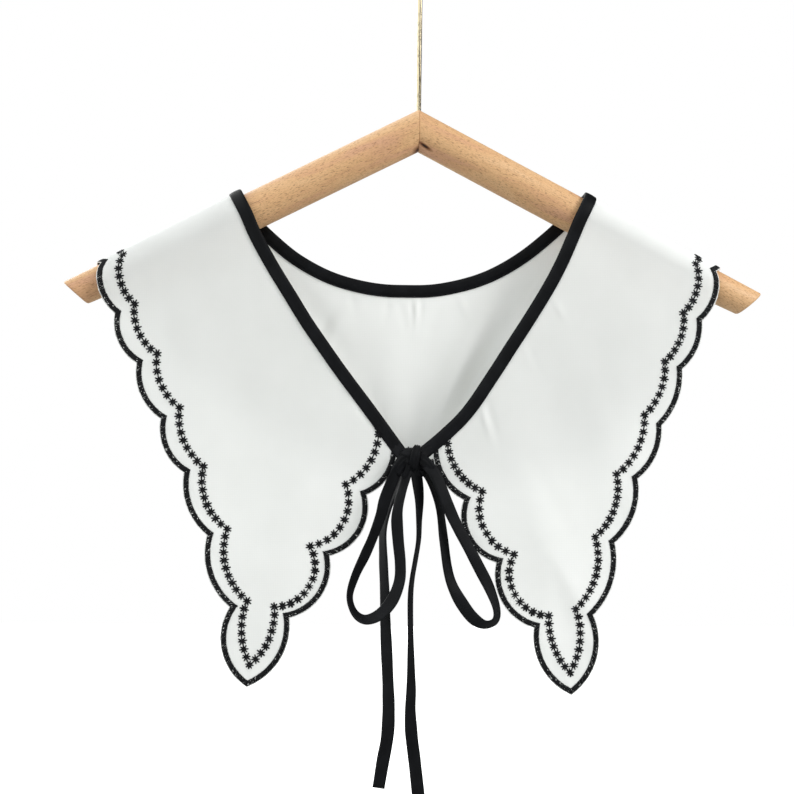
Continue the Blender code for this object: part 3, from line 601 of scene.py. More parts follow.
def sweep(rings, lengths=None, around=None, closed=False):
    """Faces of a skin over rings of points, and corner places along and round it in metres."""
    size = len(rings[0])
    points = [v for ring in rings for v in ring]
    lengths = lengths or list(range(len(rings)))
    around = around or list(range(size + 1))
    faces, uvs = [], []
    count = len(rings)
    for i in range(count if closed else count - 1):
        j = (i + 1) % count
        for k in range(size):
            m = (k + 1) % size
            faces.append((i * size + k, i * size + m, j * size + m, j * size + k))
            low, high = lengths[i] * MM, (lengths[i + 1] if i + 1 < len(lengths) else lengths[i]) * MM
            uvs.append([(low, around[k] * MM), (low, around[k + 1] * MM),
                        (high, around[k + 1] * MM), (high, around[k] * MM)])
    if not closed:
        for base in (0, (count - 1) * size):
            faces.append(tuple(range(base, base + size)))
            uvs.append([(lengths[0] * MM, around[k] * MM) for k in range(size)])
    return points, faces, uvs


def perimeter(section):
    """Distance round a section at each of its corners and at the end of the round."""
    total = [0.0]
    for p, q in zip(section, section[1:] + section[:1]):
        total.append(total[-1] + dist(p, q))
    return total


def select_only(piece):
    for other in bpy.context.view_layer.objects:
        other.select_set(False)
    piece.select_set(True)
    bpy.context.view_layer.objects.active = piece


def draw_out(step, size, centre):
    """Extrudes the selected face by a step and sizes its new end about a centre."""
    bpy.ops.mesh.extrude_region_move(TRANSFORM_OT_translate={"value": tuple(step)})
    bpy.ops.transform.resize(value=(size, size, size), center_override=tuple(centre))


def apply_modifier(piece, modifier):
    select_only(piece)
    bpy.ops.object.modifier_apply(modifier=modifier.name)


# Materials

def connect(tree, made, sockets):
    """Gives a node's sockets their values; a value that is a socket is linked."""
    for key, value in dict(sockets).items():
        if isinstance(value, bpy.types.NodeSocket):
            tree.links.new(value, made.inputs[key])
        else:
            made.inputs[key].default_value = value


def node(tree, kind, sockets=(), **settings):
    """Adds a node with its settings and links."""
    made = tree.nodes.new(kind)
    for key, value in settings.items():
        setattr(made, key, value)
    connect(tree, made, sockets)
    return made


def new_material(name):
    made = bpy.data.materials.new(name)
    made.use_nodes = True
    return made, made.node_tree, made.node_tree.nodes["Principled BSDF"]


def grains(size):
    """Noise scale for grains of this size in millimetres."""
    return 1.0 / (size * MM)


def bands(spacing):
    """Wave scale for bands that are this far apart in millimetres."""
    return pi / (10.0 * spacing * MM)


def tinted(colour, factor, lift=0.0):
    return tuple(min(1.0, c * factor + lift) for c in colour[:3]) + (1.0,)


def woven_cotton(colour):
    """Plain-woven white cotton, washed: matt, a faint weave and slightly uneven whiteness."""
    made, tree, shader = new_material("white_woven_cotton")
    place = node(tree, "ShaderNodeUVMap", uv_map="lay").outputs[0]
    # The real threads are 0.3 mm apart; they are drawn 1.1 mm apart so that they show at all
    warp, weft = (
        node(tree, "ShaderNodeTexWave", {"Vector": place, "Scale": bands(1.1023), "Distortion": 0.6,
                                         "Detail": 1.0, "Detail Scale": 2.0},
             bands_direction=way).outputs["Fac"] for way in ("X", "Y"))
    slub, cloudy = (
        node(tree, "ShaderNodeTexNoise", {"Vector": place, "Scale": grains(size), "Detail": 3.0}
             ).outputs["Fac"] for size in (1.4286, 62.5))
    weave = node(tree, "ShaderNodeMath", {0: warp, 1: weft}, operation="MULTIPLY").outputs[0]
    rough = node(tree, "ShaderNodeMath", {0: weave, 1: slub}, operation="ADD").outputs[0]
    clouds = node(tree, "ShaderNodeMapRange", {0: cloudy, 1: 0.35, 2: 0.65}).outputs[0]
    base = node(tree, "ShaderNodeMix", {0: clouds, 6: tinted(colour, 0.955), 7: colour},
                data_type="RGBA").outputs[2]
    # Painted shade: the gaps between the threads are painted a little darker, where shade falls in the weave
    between = node(tree, "ShaderNodeMix", {0: 1.0, 6: base, 7: (0.97, 0.97, 0.97, 1.0)},
                   data_type="RGBA", blend_type="MULTIPLY").outputs[2]
    threads = node(tree, "ShaderNodeMapRange", {0: weave, 1: 0.15, 2: 0.7}).outputs[0]
    bump = node(tree, "ShaderNodeBump", {"Strength": 0.25, "Distance": 0.00006, "Height": rough})
    connect(tree, shader, {
        "Base Color": node(tree, "ShaderNodeMix", {0: threads, 6: between, 7: base},
                           data_type="RGBA").outputs[2],
        "Normal": bump.outputs[0],
        "Roughness": 0.9,
        "Specular IOR Level": 0.25,
        # Light from behind glows through one layer of it
        "Subsurface Weight": 0.75,
        "Subsurface Radius": (1.0, 1.0, 1.0),
        "Subsurface Scale": 0.0012,
        "Sheen Weight": 0.12,
        "Sheen Roughness": 0.5,
    })
    return made


def satin_thread(colour):
    """Black rayon embroidery thread: glossy fibres; some stitches are painted lighter as a painted sheen, and
    each stitch has its own gloss.
    """
    made, tree, shader = new_material("black_rayon_thread")
    tone = node(tree, "ShaderNodeAttribute", attribute_name="tone").outputs["Fac"]
    place = node(tree, "ShaderNodeTexCoord").outputs["Object"]
    fibre = node(tree, "ShaderNodeTexNoise", {"Vector": place, "Scale": grains(0.3846), "Detail": 2.0})
    # Painted sheen: stitches with a high tone get a lighter colour
    painted_stitch_sheen = node(tree, "ShaderNodeMapRange", {0: tone, 1: 0.62, 2: 1.0}).outputs[0]
    gloss = node(tree, "ShaderNodeMapRange", {0: tone, 1: 0.0, 2: 1.0, 3: 0.66, 4: 0.42}).outputs[0]
    bump = node(tree, "ShaderNodeBump", {"Strength": 0.3, "Distance": 0.00005,
                                         "Height": fibre.outputs["Fac"]})
    connect(tree, shader, {
        "Base Color": node(tree, "ShaderNodeMix", {0: painted_stitch_sheen, 6: colour, 7: tinted(colour, 5.0, 0.012)},
                           data_type="RGBA").outputs[2],
        "Normal": bump.outputs[0],
        "Roughness": gloss,
        "Specular IOR Level": 0.22,
    })
    return made


def sateen_tape(colour):
    """Black cotton sateen bias tape: fine slanting ribs, a low soft sheen."""
    made, tree, shader = new_material("black_sateen_tape")
    place = node(tree, "ShaderNodeUVMap", uv_map="lay").outputs[0]
    ribs = node(tree, "ShaderNodeTexWave", {"Vector": place, "Scale": bands(0.748), "Distortion": 1.2,
                                            "Detail": 2.0, "Detail Scale": 3.0},
                bands_direction="DIAGONAL").outputs["Fac"]
    fuzz, worn = (
        node(tree, "ShaderNodeTexNoise", {"Vector": place, "Scale": grains(size), "Detail": 3.0}
             ).outputs["Fac"] for size in (1.1111, 11.111))
    wear = node(tree, "ShaderNodeMapRange", {0: worn, 1: 0.4, 2: 0.75}).outputs[0]
    base = node(tree, "ShaderNodeMix", {0: wear, 6: colour, 7: tinted(colour, 1.8, 0.002)},
                data_type="RGBA").outputs[2]
    # Painted highlight: the edge stitching of the ties is painted grey where the folded edges catch the light
    tone = node(tree, "ShaderNodeAttribute", attribute_name="tone").outputs["Fac"]
    seam_highlight = node(tree, "ShaderNodeMapRange", {0: tone, 1: 0.25, 2: 1.0}).outputs[0]
    rough = node(tree, "ShaderNodeMath", {0: ribs, 1: fuzz}, operation="ADD").outputs[0]
    bump = node(tree, "ShaderNodeBump", {"Strength": 0.4, "Distance": 0.00008, "Height": rough})
    connect(tree, shader, {
        "Base Color": node(tree, "ShaderNodeMix", {0: seam_highlight, 6: base, 7: linear("5A5D63")},
                           data_type="RGBA").outputs[2],
        "Normal": bump.outputs[0],
        "Roughness": 0.58,
        "Specular IOR Level": 0.14,
    })
    return made


def lacquered_beech(colour, side, sign):
    """Steamed beech, turned and clear-lacquered: straight grain, short brown ray flecks."""
    made, tree, shader = new_material("lacquered_beech_" + side)
    place = node(tree, "ShaderNodeTexCoord").outputs["Object"]
    # The grain runs a few degrees off the arm's own line
    lean = radians(22.0 if sign > 0 else -21.0)
    turned = node(tree, "ShaderNodeMapping", {"Vector": place, "Rotation": (0.0, -lean, 0.0),
                                              "Location": (0.37 * sign, 0.1, 0.02)}).outputs[0]
    grain = {}
    # Pattern, how many times longer it is along the grain, size across it, detail, distortion
    for name, stretch, size, detail, distortion in (
        ("broad", 7.0, 62.5, 3.0, 0.5), ("streak", 14.0, 11.111, 4.0, 0.0), ("fleck", 5.0, 2.381, 2.0, 0.0),
        ("fine", 6.0, 1.3158, 2.0, 0.0), ("pore", 12.0, 1.1111, 2.0, 0.0),
    ):
        along = node(tree, "ShaderNodeMapping", {"Vector": turned, "Scale": (1.0, stretch, stretch)})
        grain[name] = node(tree, "ShaderNodeTexNoise", {
            "Vector": along.outputs[0], "Scale": grains(size), "Detail": detail, "Distortion": distortion,
        }).outputs["Fac"]
    base = colour
    # Pattern, its range, share and colour; ray flecks are 1 to 3 mm long and stand a little apart so
    # that they read at this size
    for name, low, high, share, over in (
        ("broad", 0.4, 0.7, 0.7, "E6BF93"), ("broad", 0.5, 0.3, 0.75, "D2A083"),
        ("streak", 0.5, 0.8, 0.4, "BC8C5E"), ("fine", 0.5, 0.66, 0.55, "BC8C5E"),
        ("fleck", 0.56, 0.68, 0.75, "8E6240"),
    ):
        part = node(tree, "ShaderNodeMapRange", {0: grain[name], 1: low, 2: high, 4: share}).outputs[0]
        base = node(tree, "ShaderNodeMix", {0: part, 6: base, 7: linear(over)}, data_type="RGBA").outputs[2]
    # Painted shade in the small gouge beside the joint on the right arm, and a painted dark spot at the
    # joint's foot on the left arm, standing in for the shade of a chip
    spot, lean_down, size = (((0.0036, -0.0088, -0.1541), 33.0, (0.0034, 0.005, 0.0007)) if sign > 0
                             else ((0.0, -0.0075, -0.1565), -30.0, (0.0024, 0.006, 0.0014)))
    off = node(tree, "ShaderNodeVectorMath", {0: place, 1: spot}, operation="SUBTRACT").outputs[0]
    off = node(tree, "ShaderNodeMapping", {"Vector": off, "Rotation": (0.0, radians(lean_down), 0.0),
                                           "Scale": size}, vector_type="TEXTURE").outputs[0]
    away = node(tree, "ShaderNodeVectorMath", {0: off}, operation="LENGTH").outputs["Value"]
    for far, near, painted_shade_colour in ((2.0, 0.9, "7A4A28"), (1.0, 0.5, "26150C")):
        part = node(tree, "ShaderNodeMapRange", {0: away, 1: far, 2: near}).outputs[0]
        base = node(tree, "ShaderNodeMix", {0: part, 6: base, 7: linear(painted_shade_colour)}, data_type="RGBA").outputs[2]
    height = node(tree, "ShaderNodeMath", {0: grain["streak"], 1: grain["pore"]}, operation="ADD").outputs[0]
    bump = node(tree, "ShaderNodeBump", {"Strength": 0.25, "Distance": 0.00008, "Height": height})
    gloss = node(tree, "ShaderNodeMapRange", {0: grain["streak"], 1: 0.3, 2: 0.7, 3: 0.42, 4: 0.55})
    connect(tree, shader, {"Base Color": base, "Normal": bump.outputs[0], "Roughness": gloss.outputs[0],
                           "Specular IOR Level": 0.35})
    return made


def brass_wire(colour):
    """Brass-plated steel wire, drawn: polished, with dull spots where the plating is worn."""
    made, tree, shader = new_material("brass_plated_wire")
    place = node(tree, "ShaderNodeTexCoord").outputs["Object"]
    spots = node(tree, "ShaderNodeTexNoise", {"Vector": place, "Scale": grains(2.381), "Detail": 4.0}
                 ).outputs["Fac"]
    wear = node(tree, "ShaderNodeMapRange", {0: spots, 1: 0.5, 2: 0.75}).outputs[0]
    base = node(tree, "ShaderNodeMix", {0: wear, 6: colour, 7: tinted(colour, 0.55)},
                data_type="RGBA").outputs[2]
    gloss = node(tree, "ShaderNodeMapRange", {0: spots, 1: 0.3, 2: 0.7, 3: 0.14, 4: 0.3}).outputs[0]
    connect(tree, shader, {"Base Color": base, "Roughness": gloss, "Metallic": 1.0})
    return made


def pale_floor(colour):
    """Matt white studio floor that looks as bright as the room behind it."""
    made, tree, shader = new_material("pale_studio_floor")
    # It is white for the eye only, so that little light from below falls on the collar
    seen = node(tree, "ShaderNodeLightPath").outputs["Is Camera Ray"]
    base = node(tree, "ShaderNodeMix", {0: seen, 6: tinted(colour, 0.5), 7: colour},
                data_type="RGBA").outputs[2]
    connect(tree, shader, {"Base Color": base, "Roughness": 0.95, "Specular IOR Level": 0.1,
                           "Emission Color": (1.0, 1.0, 1.0, 1.0), "Emission Strength": seen})
    return made


def keep_material(name, maker, *args):
    return bpy.data.materials.get(name) or maker(*args)


def tape_material():
    return keep_material("black_sateen_tape", sateen_tape, tuple(bpy.context.scene.collar_tape.colour))


def thread_material():
    return keep_material("black_rayon_thread", satin_thread, tuple(bpy.context.scene.collar_thread.colour))


# Tape strips

# Across and through, as shares of half the width and half the wall
TAPE_SECTION = [
    (-1.0, 0.0), (-0.95, 0.62), (-0.80, 0.98), (-0.66, 1.0), (-0.60, 0.70), (-0.53, 1.02), (-0.42, 1.06),
    (0.0, 1.14), (0.55, 1.04), (0.80, 0.98), (0.95, 0.62), (1.0, 0.0),
    (0.95, -0.62), (0.80, -0.98), (0.55, -1.0), (0.0, -1.0), (-0.55, -1.0), (-0.80, -0.98), (-0.95, -0.62),
]

# Painted highlight along the ties' edge stitching, where the folded edges catch the light, by the point of
# the section
TIE_SEAM_HIGHLIGHT = {3: 0.7, 4: 0.3, 5: 1.0}


def tape_rings(rows, per, width, wall, seed):
    """Rings of a flat tape along its table, its middle line and the distance along it."""
    count = per * (len(rows) - 1)
    spots = [smooth_point(rows, i / per) for i in range(count + 1)]
    rings, lengths = [], [0.0]
    for i, (x, y, z, turn) in enumerate(spots):
        if i:
            lengths.append(lengths[-1] + (Vector(spots[i][:3]) - Vector(spots[i - 1][:3])).length)
        p, q = spots[max(i - 1, 0)], spots[min(i + 1, count)]
        t = (Vector(q[:3]) - Vector(p[:3])).normalized()
        side = Vector((-t.z, 0.0, t.x)).normalized()
        turn = turn + 5.0 * noise.noise(Vector((lengths[-1] / 21.0, seed, 0.0)))
        w = side * cos(radians(turn)) + Vector((0.0, sin(radians(turn)), 0.0))
        w = (w - t * w.dot(t)).normalized()
        n = w.cross(t)
        breathe = 1.0 + 0.05 * noise.noise(Vector((lengths[-1] / 13.0, seed, 5.0)))
        curl = 0.35 * noise.noise(Vector((lengths[-1] / 30.0, seed, 8.0)))
        ring = []
        for a, b in TAPE_SECTION:
            off = b * wall / 2 + curl * (1 - a * a)
            ring.append(tuple(Vector((x, y, z)) + w * (a * width / 2 * breathe) + n * off))
        rings.append(ring)
    return rings, spots, lengths


def tape_around(width, wall):
    return perimeter([(a * width / 2, b * wall / 2) for a, b in TAPE_SECTION])


# Settings

def colour_setting(name, text, hex_text):
    return FloatVectorProperty(name=name, description=text, subtype="COLOR", size=4, min=0.0, max=1.0,
                               default=linear(hex_text))


class ClothSettings(bpy.types.PropertyGroup):
    colour: colour_setting("Cloth colour", "Colour of the cotton", "F0F1EE")
    wall: FloatProperty(
        name="Cloth thickness", description="Thickness of the cotton leaf", unit="LENGTH",
        default=0.00042, min=0.0002, max=0.001)
    pucker: FloatProperty(
        name="Edge pucker", description="How far the satin stitch draws the cloth up", unit="LENGTH",
        default=0.00022, min=0.0, max=0.001)


class ThreadSettings(bpy.types.PropertyGroup):
    colour: colour_setting("Thread colour", "Colour of the embroidery thread", "0C0D10")
    pitch: FloatProperty(
        name="Stitch spacing", description="Distance from one satin stitch to the next", unit="LENGTH",
        default=0.00046, min=0.0003, max=0.001)
    rays: IntProperty(
        name="Star rays", description="Stitches that leave the middle of a star", default=8, min=5, max=12)


class TapeSettings(bpy.types.PropertyGroup):
    colour: colour_setting("Tape colour", "Colour of the binding and the ties", "050609")
    wall: FloatProperty(
        name="Tie thickness", description="Thickness of the folded tie", unit="LENGTH",
        default=0.0012, min=0.0005, max=0.003)


class HangerSettings(bpy.types.PropertyGroup):
    wood: colour_setting("Wood colour", "Middle colour of the beech", "DDAF7E")
    wire: colour_setting("Wire colour", "Colour of the plated wire", "BDB196")


class StageSettings(bpy.types.PropertyGroup):
    floor: colour_setting("Floor colour", "Colour of the pale floor", "F7F7F6")
    key: FloatProperty(
        name="Key light", description="Power of the soft light beside the camera", unit="POWER",
        default=23.5, min=0.0, max=500.0)
    fill: FloatProperty(
        name="Room light", description="Brightness of the room all round", default=0.85, min=0.0, max=2.0)


# Pieces

class COLLAR_OT_stage(bpy.types.Operator):
    """Sets the camera of the photograph, the pale floor and the soft studio light"""
    bl_idname = "collar.stage"
    bl_label = "Stage"

    # Metres, as read back from the photograph
    camera_place = (-0.08876409, -1.19684304, -0.32091353)
    camera_right = (0.99782701, -0.06461015, 0.01291481)
    camera_forward = (0.06453096, 0.99789481, 0.00645767)
    camera_lens = 85.42
    floor_half, floor_z = 6.0, -1.15
    aim = (0.0, 0.0, -0.3)
    # Name, place, width, share of the key light's power
    lamps = (
        ("key_light", (1.5, -0.88, 0.66), 0.8, 1.0),
        ("back_light", (-1.2, 1.6, 0.35), 1.4, 0.75),
    )

    def execute(self, context):
        settings = context.scene.collar_stage
        self.camera(context)
        w, z = self.floor_half, self.floor_z
        mesh = bpy.data.meshes.new("studio_floor")
        mesh.from_pydata([(-w, -w, z), (w, -w, z), (w, w, z), (-w, w, z)], [], [(0, 1, 2, 3)])
        mesh.materials.append(pale_floor(tuple(settings.floor)))
        floor = bpy.data.objects.new("studio_floor", mesh)
        context.scene.collection.objects.link(floor)
        for name, place, size, share in self.lamps:
            lamp = bpy.data.lights.new(name, "AREA")
            lamp.size = size
            lamp.energy = settings.key * share
            holder = bpy.data.objects.new(name, lamp)
            context.scene.collection.objects.link(holder)
            way = (Vector(self.aim) - Vector(place)).to_track_quat("-Z", "Y")
            holder.matrix_world = Matrix.Translation(place) @ way.to_matrix().to_4x4()
        self.room(context, settings.fill)
        return {"FINISHED"}

    def camera(self, context):
        data = bpy.data.cameras.new("photo_camera")
        data.lens = self.camera_lens
        data.sensor_width = 36.0
        data.clip_end = 50.0
        camera = bpy.data.objects.new("photo_camera", data)
        context.scene.collection.objects.link(camera)
        right, forward = Vector(self.camera_right), Vector(self.camera_forward)
        turned = Matrix((right, right.cross(forward), -forward)).transposed().to_4x4()
        camera.matrix_world = Matrix.Translation(self.camera_place) @ turned
        context.scene.camera = camera
        context.scene.view_settings.view_transform = "Standard"

    def room(self, context, fill):
        """The eye sees a white room; the light on the object is softer, bright on the left and above."""
        world = context.scene.world or bpy.data.worlds.new("studio_room")
        context.scene.world = world
        world.use_nodes = True
        tree = world.node_tree
        tree.nodes.clear()
        seen = node(tree, "ShaderNodeBackground", {"Color": (1.0, 1.0, 1.0, 1.0), "Strength": 1.0})
        way = node(tree, "ShaderNodeTexCoord").outputs["Generated"]
        parts = node(tree, "ShaderNodeSeparateXYZ", {0: way}).outputs
        ray = node(tree, "ShaderNodeLightPath").outputs
        lift = node(tree, "ShaderNodeMapRange", {0: parts[2], 1: -1.0, 2: 1.0, 3: 0.6, 4: 1.3})
        wide = node(tree, "ShaderNodeMapRange", {0: parts[0], 1: -0.35, 2: 0.1, 3: 1.45, 4: 0.6})
        # Shiny things see a bright side on the left and a dark one on the right, as between two flats
        flats = node(tree, "ShaderNodeMapRange", {0: parts[0], 1: -0.12, 2: 0.06, 3: 2.4, 4: 0.05})
        sides = node(tree, "ShaderNodeMix", {0: ray["Is Glossy Ray"], 2: wide.outputs[0],
                                             3: flats.outputs[0]})
        power = node(tree, "ShaderNodeMath", {0: lift.outputs[0], 1: fill}, operation="MULTIPLY")
        power = node(tree, "ShaderNodeMath", {0: power.outputs[0], 1: sides.outputs[0]}, operation="MULTIPLY")
        room = node(tree, "ShaderNodeBackground", {"Color": linear("F7FAF9"), "Strength": power.outputs[0]})
        both = node(tree, "ShaderNodeMixShader", {0: ray["Is Camera Ray"], 1: room.outputs[0],
                                                  2: seen.outputs[0]})
        node(tree, "ShaderNodeOutputWorld", {0: both.outputs[0]})


class COLLAR_OT_ties(bpy.types.Operator):
    """Makes the bow's two loops and two free ends from flat tape, and its knot"""
    bl_idname = "collar.ties"
    bl_label = "Bow"

    def execute(self, context):
        wall = context.scene.collar_tape.wall / MM
        around = tape_around(TIE_WIDTH, wall)
        knot = self.knot()
        for seed, (name, rows, far_end) in enumerate((
            ("tie_loop_left", LOOP_LEFT, "object"), ("tie_loop_right", LOOP_RIGHT, "object"),
            ("tie_tail_left", TAIL_LEFT, "bare"), ("tie_tail_right", TAIL_RIGHT, "bare"),
        )):
            rings, spots, lengths = tape_rings(rows, 8, TIE_WIDTH, wall, seed * 7.3)
            points, faces, uvs = sweep(rings, lengths, around)
            tones = [TIE_SEAM_HIGHLIGHT.get(k, 0.0) for _ in rings for k in range(len(TAPE_SECTION))]
            piece = make_piece(name + "_tape", points, faces, tape_material(), uvs, tones)
            finish_piece(piece, "black_tape", name)
        return {"FINISHED"}

    def knot(self):
        """Tape gathered into a small knot, under one pleated turn that leans right at its top."""
        points, faces, uvs = [], [], []

        def add(rings, lengths, around, closed=False):
            more, quads, corners = sweep(rings, lengths, around, closed)
            base = len(points)
            points.extend(more)
            faces.extend(tuple(i + base for i in f) for f in quads)
            uvs.extend(corners)

        cx, cy, cz = KNOT_CENTRE
        hx, hy, hz = KNOT_HALF
        sides, levels = 40, 24
        rings = []
        for j in range(levels):
            v = -1 + 2 * (j + 0.5) / levels
            swell = max(1 - abs(v) ** 3.4, 0.0) ** 0.5
            ring = []
            for k in range(sides):
                a = 2 * pi * k / sides
                pleat = 1.0 + 0.06 * sin(8.0 * v + 2.6 * cos(a)) + 0.07 * noise.noise(
                    Vector((cos(a) * 2.4, sin(a) * 2.4, v * 3.4)))
                ring.append((cx + hx * swell * pleat * cos(a), cy + hy * swell * pleat * sin(a), cz + hz * v))
            rings.append(ring)
        add(rings, [hz * 2 * j / levels for j in range(levels)], [0.9 * k for k in range(sides + 1)])

        # The turn round the knot, as a closed band with three lengthwise pleats
        section = [(-1.0, 0.0), (-0.9, 0.6), (-0.68, 0.95), (-0.42, 0.45), (-0.14, 1.05), (0.12, 1.1),
                   (0.36, 0.5), (0.62, 1.0), (0.9, 0.6), (1.0, 0.0), (0.7, -0.7), (0.0, -0.9), (-0.7, -0.7)]
        across = Vector((0.985, 0.0, -0.17)).normalized()
        middle = Vector(WRAP_CENTRE)
        count = 44
        rings, lengths = [], []
        for i in range(count):
            a = 2 * pi * i / count
            up = sin(a)
            centre = middle + Vector((WRAP_LEAN * up - 0.7 * cos(a) ** 2,
                                      -WRAP_DEPTH * cos(a), WRAP_HEIGHT * up))
            t = Vector((WRAP_LEAN * cos(a), WRAP_DEPTH * sin(a), WRAP_HEIGHT * cos(a))).normalized()
            w = (across - t * across.dot(t)).normalized()
            n = t.cross(w)
            if n.dot(centre - middle) < 0:
                n = -n
            half = 3.0 - 1.0 * max(up, 0.0) ** 2 - 0.5 * max(-up, 0.0) ** 2
            rings.append([tuple(centre + w * (p * half) + n * (q * 0.85)) for p, q in section])
            lengths.append(i * 1.0)
        add(rings, lengths + [count * 1.0], perimeter([(p * 3, q * 0.85) for p, q in section]), True)

        # Tape that comes in from each binding, loop and free end: x, y, z, half width, half depth
        per, strip_sides = 6, 24
        for rows in KNOT_STRIPS:
            spots = [smooth_point(rows, i / per) for i in range(per * (len(rows) - 1) + 1)]
            rings, lengths = [], [0.0]
            for i, (x, y, z, half_width, half_depth) in enumerate(spots):
                if i:
                    lengths.append(lengths[-1] + (Vector(spots[i][:3]) - Vector(spots[i - 1][:3])).length)
                p, q = spots[max(i - 1, 0)], spots[min(i + 1, len(spots) - 1)]
                t = (Vector(q[:3]) - Vector(p[:3])).normalized()
                w = Vector((-t.z, 0.0, t.x)).normalized()
                n = w.cross(t)
                ring = []
                for k in range(strip_sides):
                    a, b = cos(2 * pi * k / strip_sides), sin(2 * pi * k / strip_sides)
                    ridge = 1.0 + 0.26 * cos(3.0 * pi * a + 0.12 * i)
                    off = w * (a * half_width) + n * (b * half_depth * ridge)
                    ring.append(tuple(Vector((x, y, z)) + off))
                rings.append(ring)
            add(rings, lengths, [0.8 * k for k in range(strip_sides + 1)])
        piece = make_piece("tie_knot_wraps", points, faces, tape_material(), uvs)
        return finish_piece(piece, "black_tape", "tie_knot")


class COLLAR_OT_cloth(bpy.types.Operator):
    """Makes the one-piece cotton collar over the arms, with its folds and creases"""
    bl_idname = "collar.cloth"
    bl_label = "Cloth"

    def execute(self, context):
        settings = context.scene.collar_cloth
        pucker = settings.pucker / MM
        draw = random.Random(11)
        ribs, places = [], []
        for side in ("left", "back", "right"):
            rows, flats = self.leaf_ribs(LEAVES[side], pucker, draw)
            if side == "left":
                rows.reverse()
                flats.reverse()
            if ribs:
                first, last = rows[0], ribs[-1]
                ribs[-1] = [tuple((a + b) / 2 for a, b in zip(p, q)) for p, q in zip(first, last)]
                rows, flats = rows[1:], flats[1:]
            ribs += rows
            places += flats
        size = len(ribs[0])
        points = [p for rib in ribs for p in rib]
        faces, uvs = [], []
        for i in range(len(ribs) - 1):
            for j in range(size - 1):
                corners = ((i, j), (i, j + 1), (i + 1, j + 1), (i + 1, j))
                faces.append(tuple(a * size + b for a, b in corners))
                uvs.append([tuple(c * MM for c in places[a][b]) for a, b in corners])
        cotton = woven_cotton(tuple(settings.colour))
        piece = make_piece("collar_cloth", points, faces, cotton, uvs, closed=False)
        wall = piece.modifiers.new("wall", "SOLIDIFY")
        wall.thickness = settings.wall
        wall.offset = 0.0
        apply_modifier(piece, wall)
        bpy.ops.object.shade_smooth_by_angle(angle=radians(60.0))
        face_outwards(piece.data, recalculate=False)
        finish_piece(piece, "white_cotton", "collar_front_left", "collar_front_right", "collar_back")
        return {"FINISHED"}

    def leaf_ribs(self, leaf, pucker, draw):
        """Lines of cloth points from the neck edge to the scalloped edge, from the first shoulder."""
        arcs = scallop_arcs(leaf["table"], leaf["turn"], FRINGE_REACH, leaf["keep"])
        line, start, end = neck_span(leaf["neck"])
        table = leaf["table"]
        over = crest(*table[-1][:2]) < 0
        shares = [0.0] + [row[3] for row in table[1:-1]] + [1.0 if over else table[-1][3]]
        finish, square = neck_station(line, end, leaf["turn"])
        if over:
            way = crest_direction(table[-1][0])
            last_way = (-way[0], -way[1])
        else:
            root = neck_station(line, start + (end - start) * shares[-1], leaf["turn"])[0]
            last_way = unit(root[0] - arcs[-1][2][0], root[1] - arcs[-1][2][1])
        corners = inner_corners(arcs, last_way)
        rows, flats = [], []
        travelled = 0.0

        def add(share, e, turn_of, ragged, so_far):
            p, n = neck_station(line, start + (end - start) * share, leaf["turn"])
            rib, flat = self.rib(leaf, p, n, e, turn_of(p), ragged, pucker, so_far)
            rows.append(rib)
            flats.append(flat)

        for i, (ring, a, b) in enumerate(arcs):
            length = arc_length(ring, a, b)
            steps = max(3, round(length / RIB_PITCH))
            for k, e in enumerate(arc(ring, a, b, steps)):
                if k == 0 and i:
                    continue

                def turn_of(p, e=e, i=i, k=k):
                    limit = 0.34 * dist(e, p)
                    return inner_point(a, b, corners[i], corners[i + 1], k / steps, limit)

                at_end = (i == 0 and k == 0) or (i == len(arcs) - 1 and k == steps)
                ragged = 0.0 if at_end else draw.uniform(-0.16, 0.14)
                share = shares[i] + (shares[i + 1] - shares[i]) * k / steps
                add(share, e, turn_of, ragged, travelled + length * k / steps)
            travelled += length
        if not over:
            # The leaf ends under the binding and follows it to the knot
            last = (finish[0] + square[0] * 2.2, finish[1] + square[1] * 2.2)
            for k in range(1, 6):
                e = (b[0] + (last[0] - b[0]) * k / 5, b[1] + (last[1] - b[1]) * k / 5)
                add(shares[-1] + (1 - shares[-1]) * k / 5, e,
                    lambda p: (e[0] + (p[0] - e[0]) * 0.3, e[1] + (p[1] - e[1]) * 0.3), 0.0, travelled)
        return rows, flats

    def rib(self, leaf, p, n, e, turn, ragged, pucker, travelled):
        """One line of cloth points, closer together from its turn to the edge, and where each lies flat."""
        back = BINDING_WIDTH / 2 - BINDING_HIDES
        inner = (p[0] - n[0] * back, p[1] - n[1] * back)
        step = min(BINDING_WIDTH + 0.2, dist(e, inner) * 0.45)
        second = (inner[0] + n[0] * step, inner[1] + n[1] * step)
        out = unit(e[0] - turn[0], e[1] - turn[1])
        far = (e[0] + out[0] * ragged, e[1] + out[1] * ragged)
        flat = [inner, ((inner[0] + second[0]) / 2, (inner[1] + second[1]) / 2), second]
        inside = COLUMNS - BORDER_COLUMNS
        for j in range(1, COLUMNS + 1):
            t = j / inside if j <= inside else (j - inside) / BORDER_COLUMNS
            a, b = (second, turn) if j <= inside else (turn, far)
            flat.append((a[0] + (b[0] - a[0]) * t, a[1] + (b[1] - a[1]) * t))
        rib = []
        for j, (x, z) in enumerate(flat):
            ease = min(max((j - 1) / 3.0, 0.0), 1.0)
            # Small puckers about 7.5 mm in from the edge, none of them under the satin stitch
            edge = dist((x, z), far)
            wave = pucker * sin(travelled / 4.6 + 1.7 * sin(travelled / 23.0))
            wave *= exp(-(edge - 7.5) ** 2 / 12.0) * min(max(edge - 4.2, 0.0), 1.0) if edge < 16.0 else 0.0
            rib.append(lay(leaf["facing"], leaf["sign"] * x, z, CLOTH_MIDDLE + wave * ease, ease))
        return rib, [(leaf["sign"] * x, z) for x, z in flat]


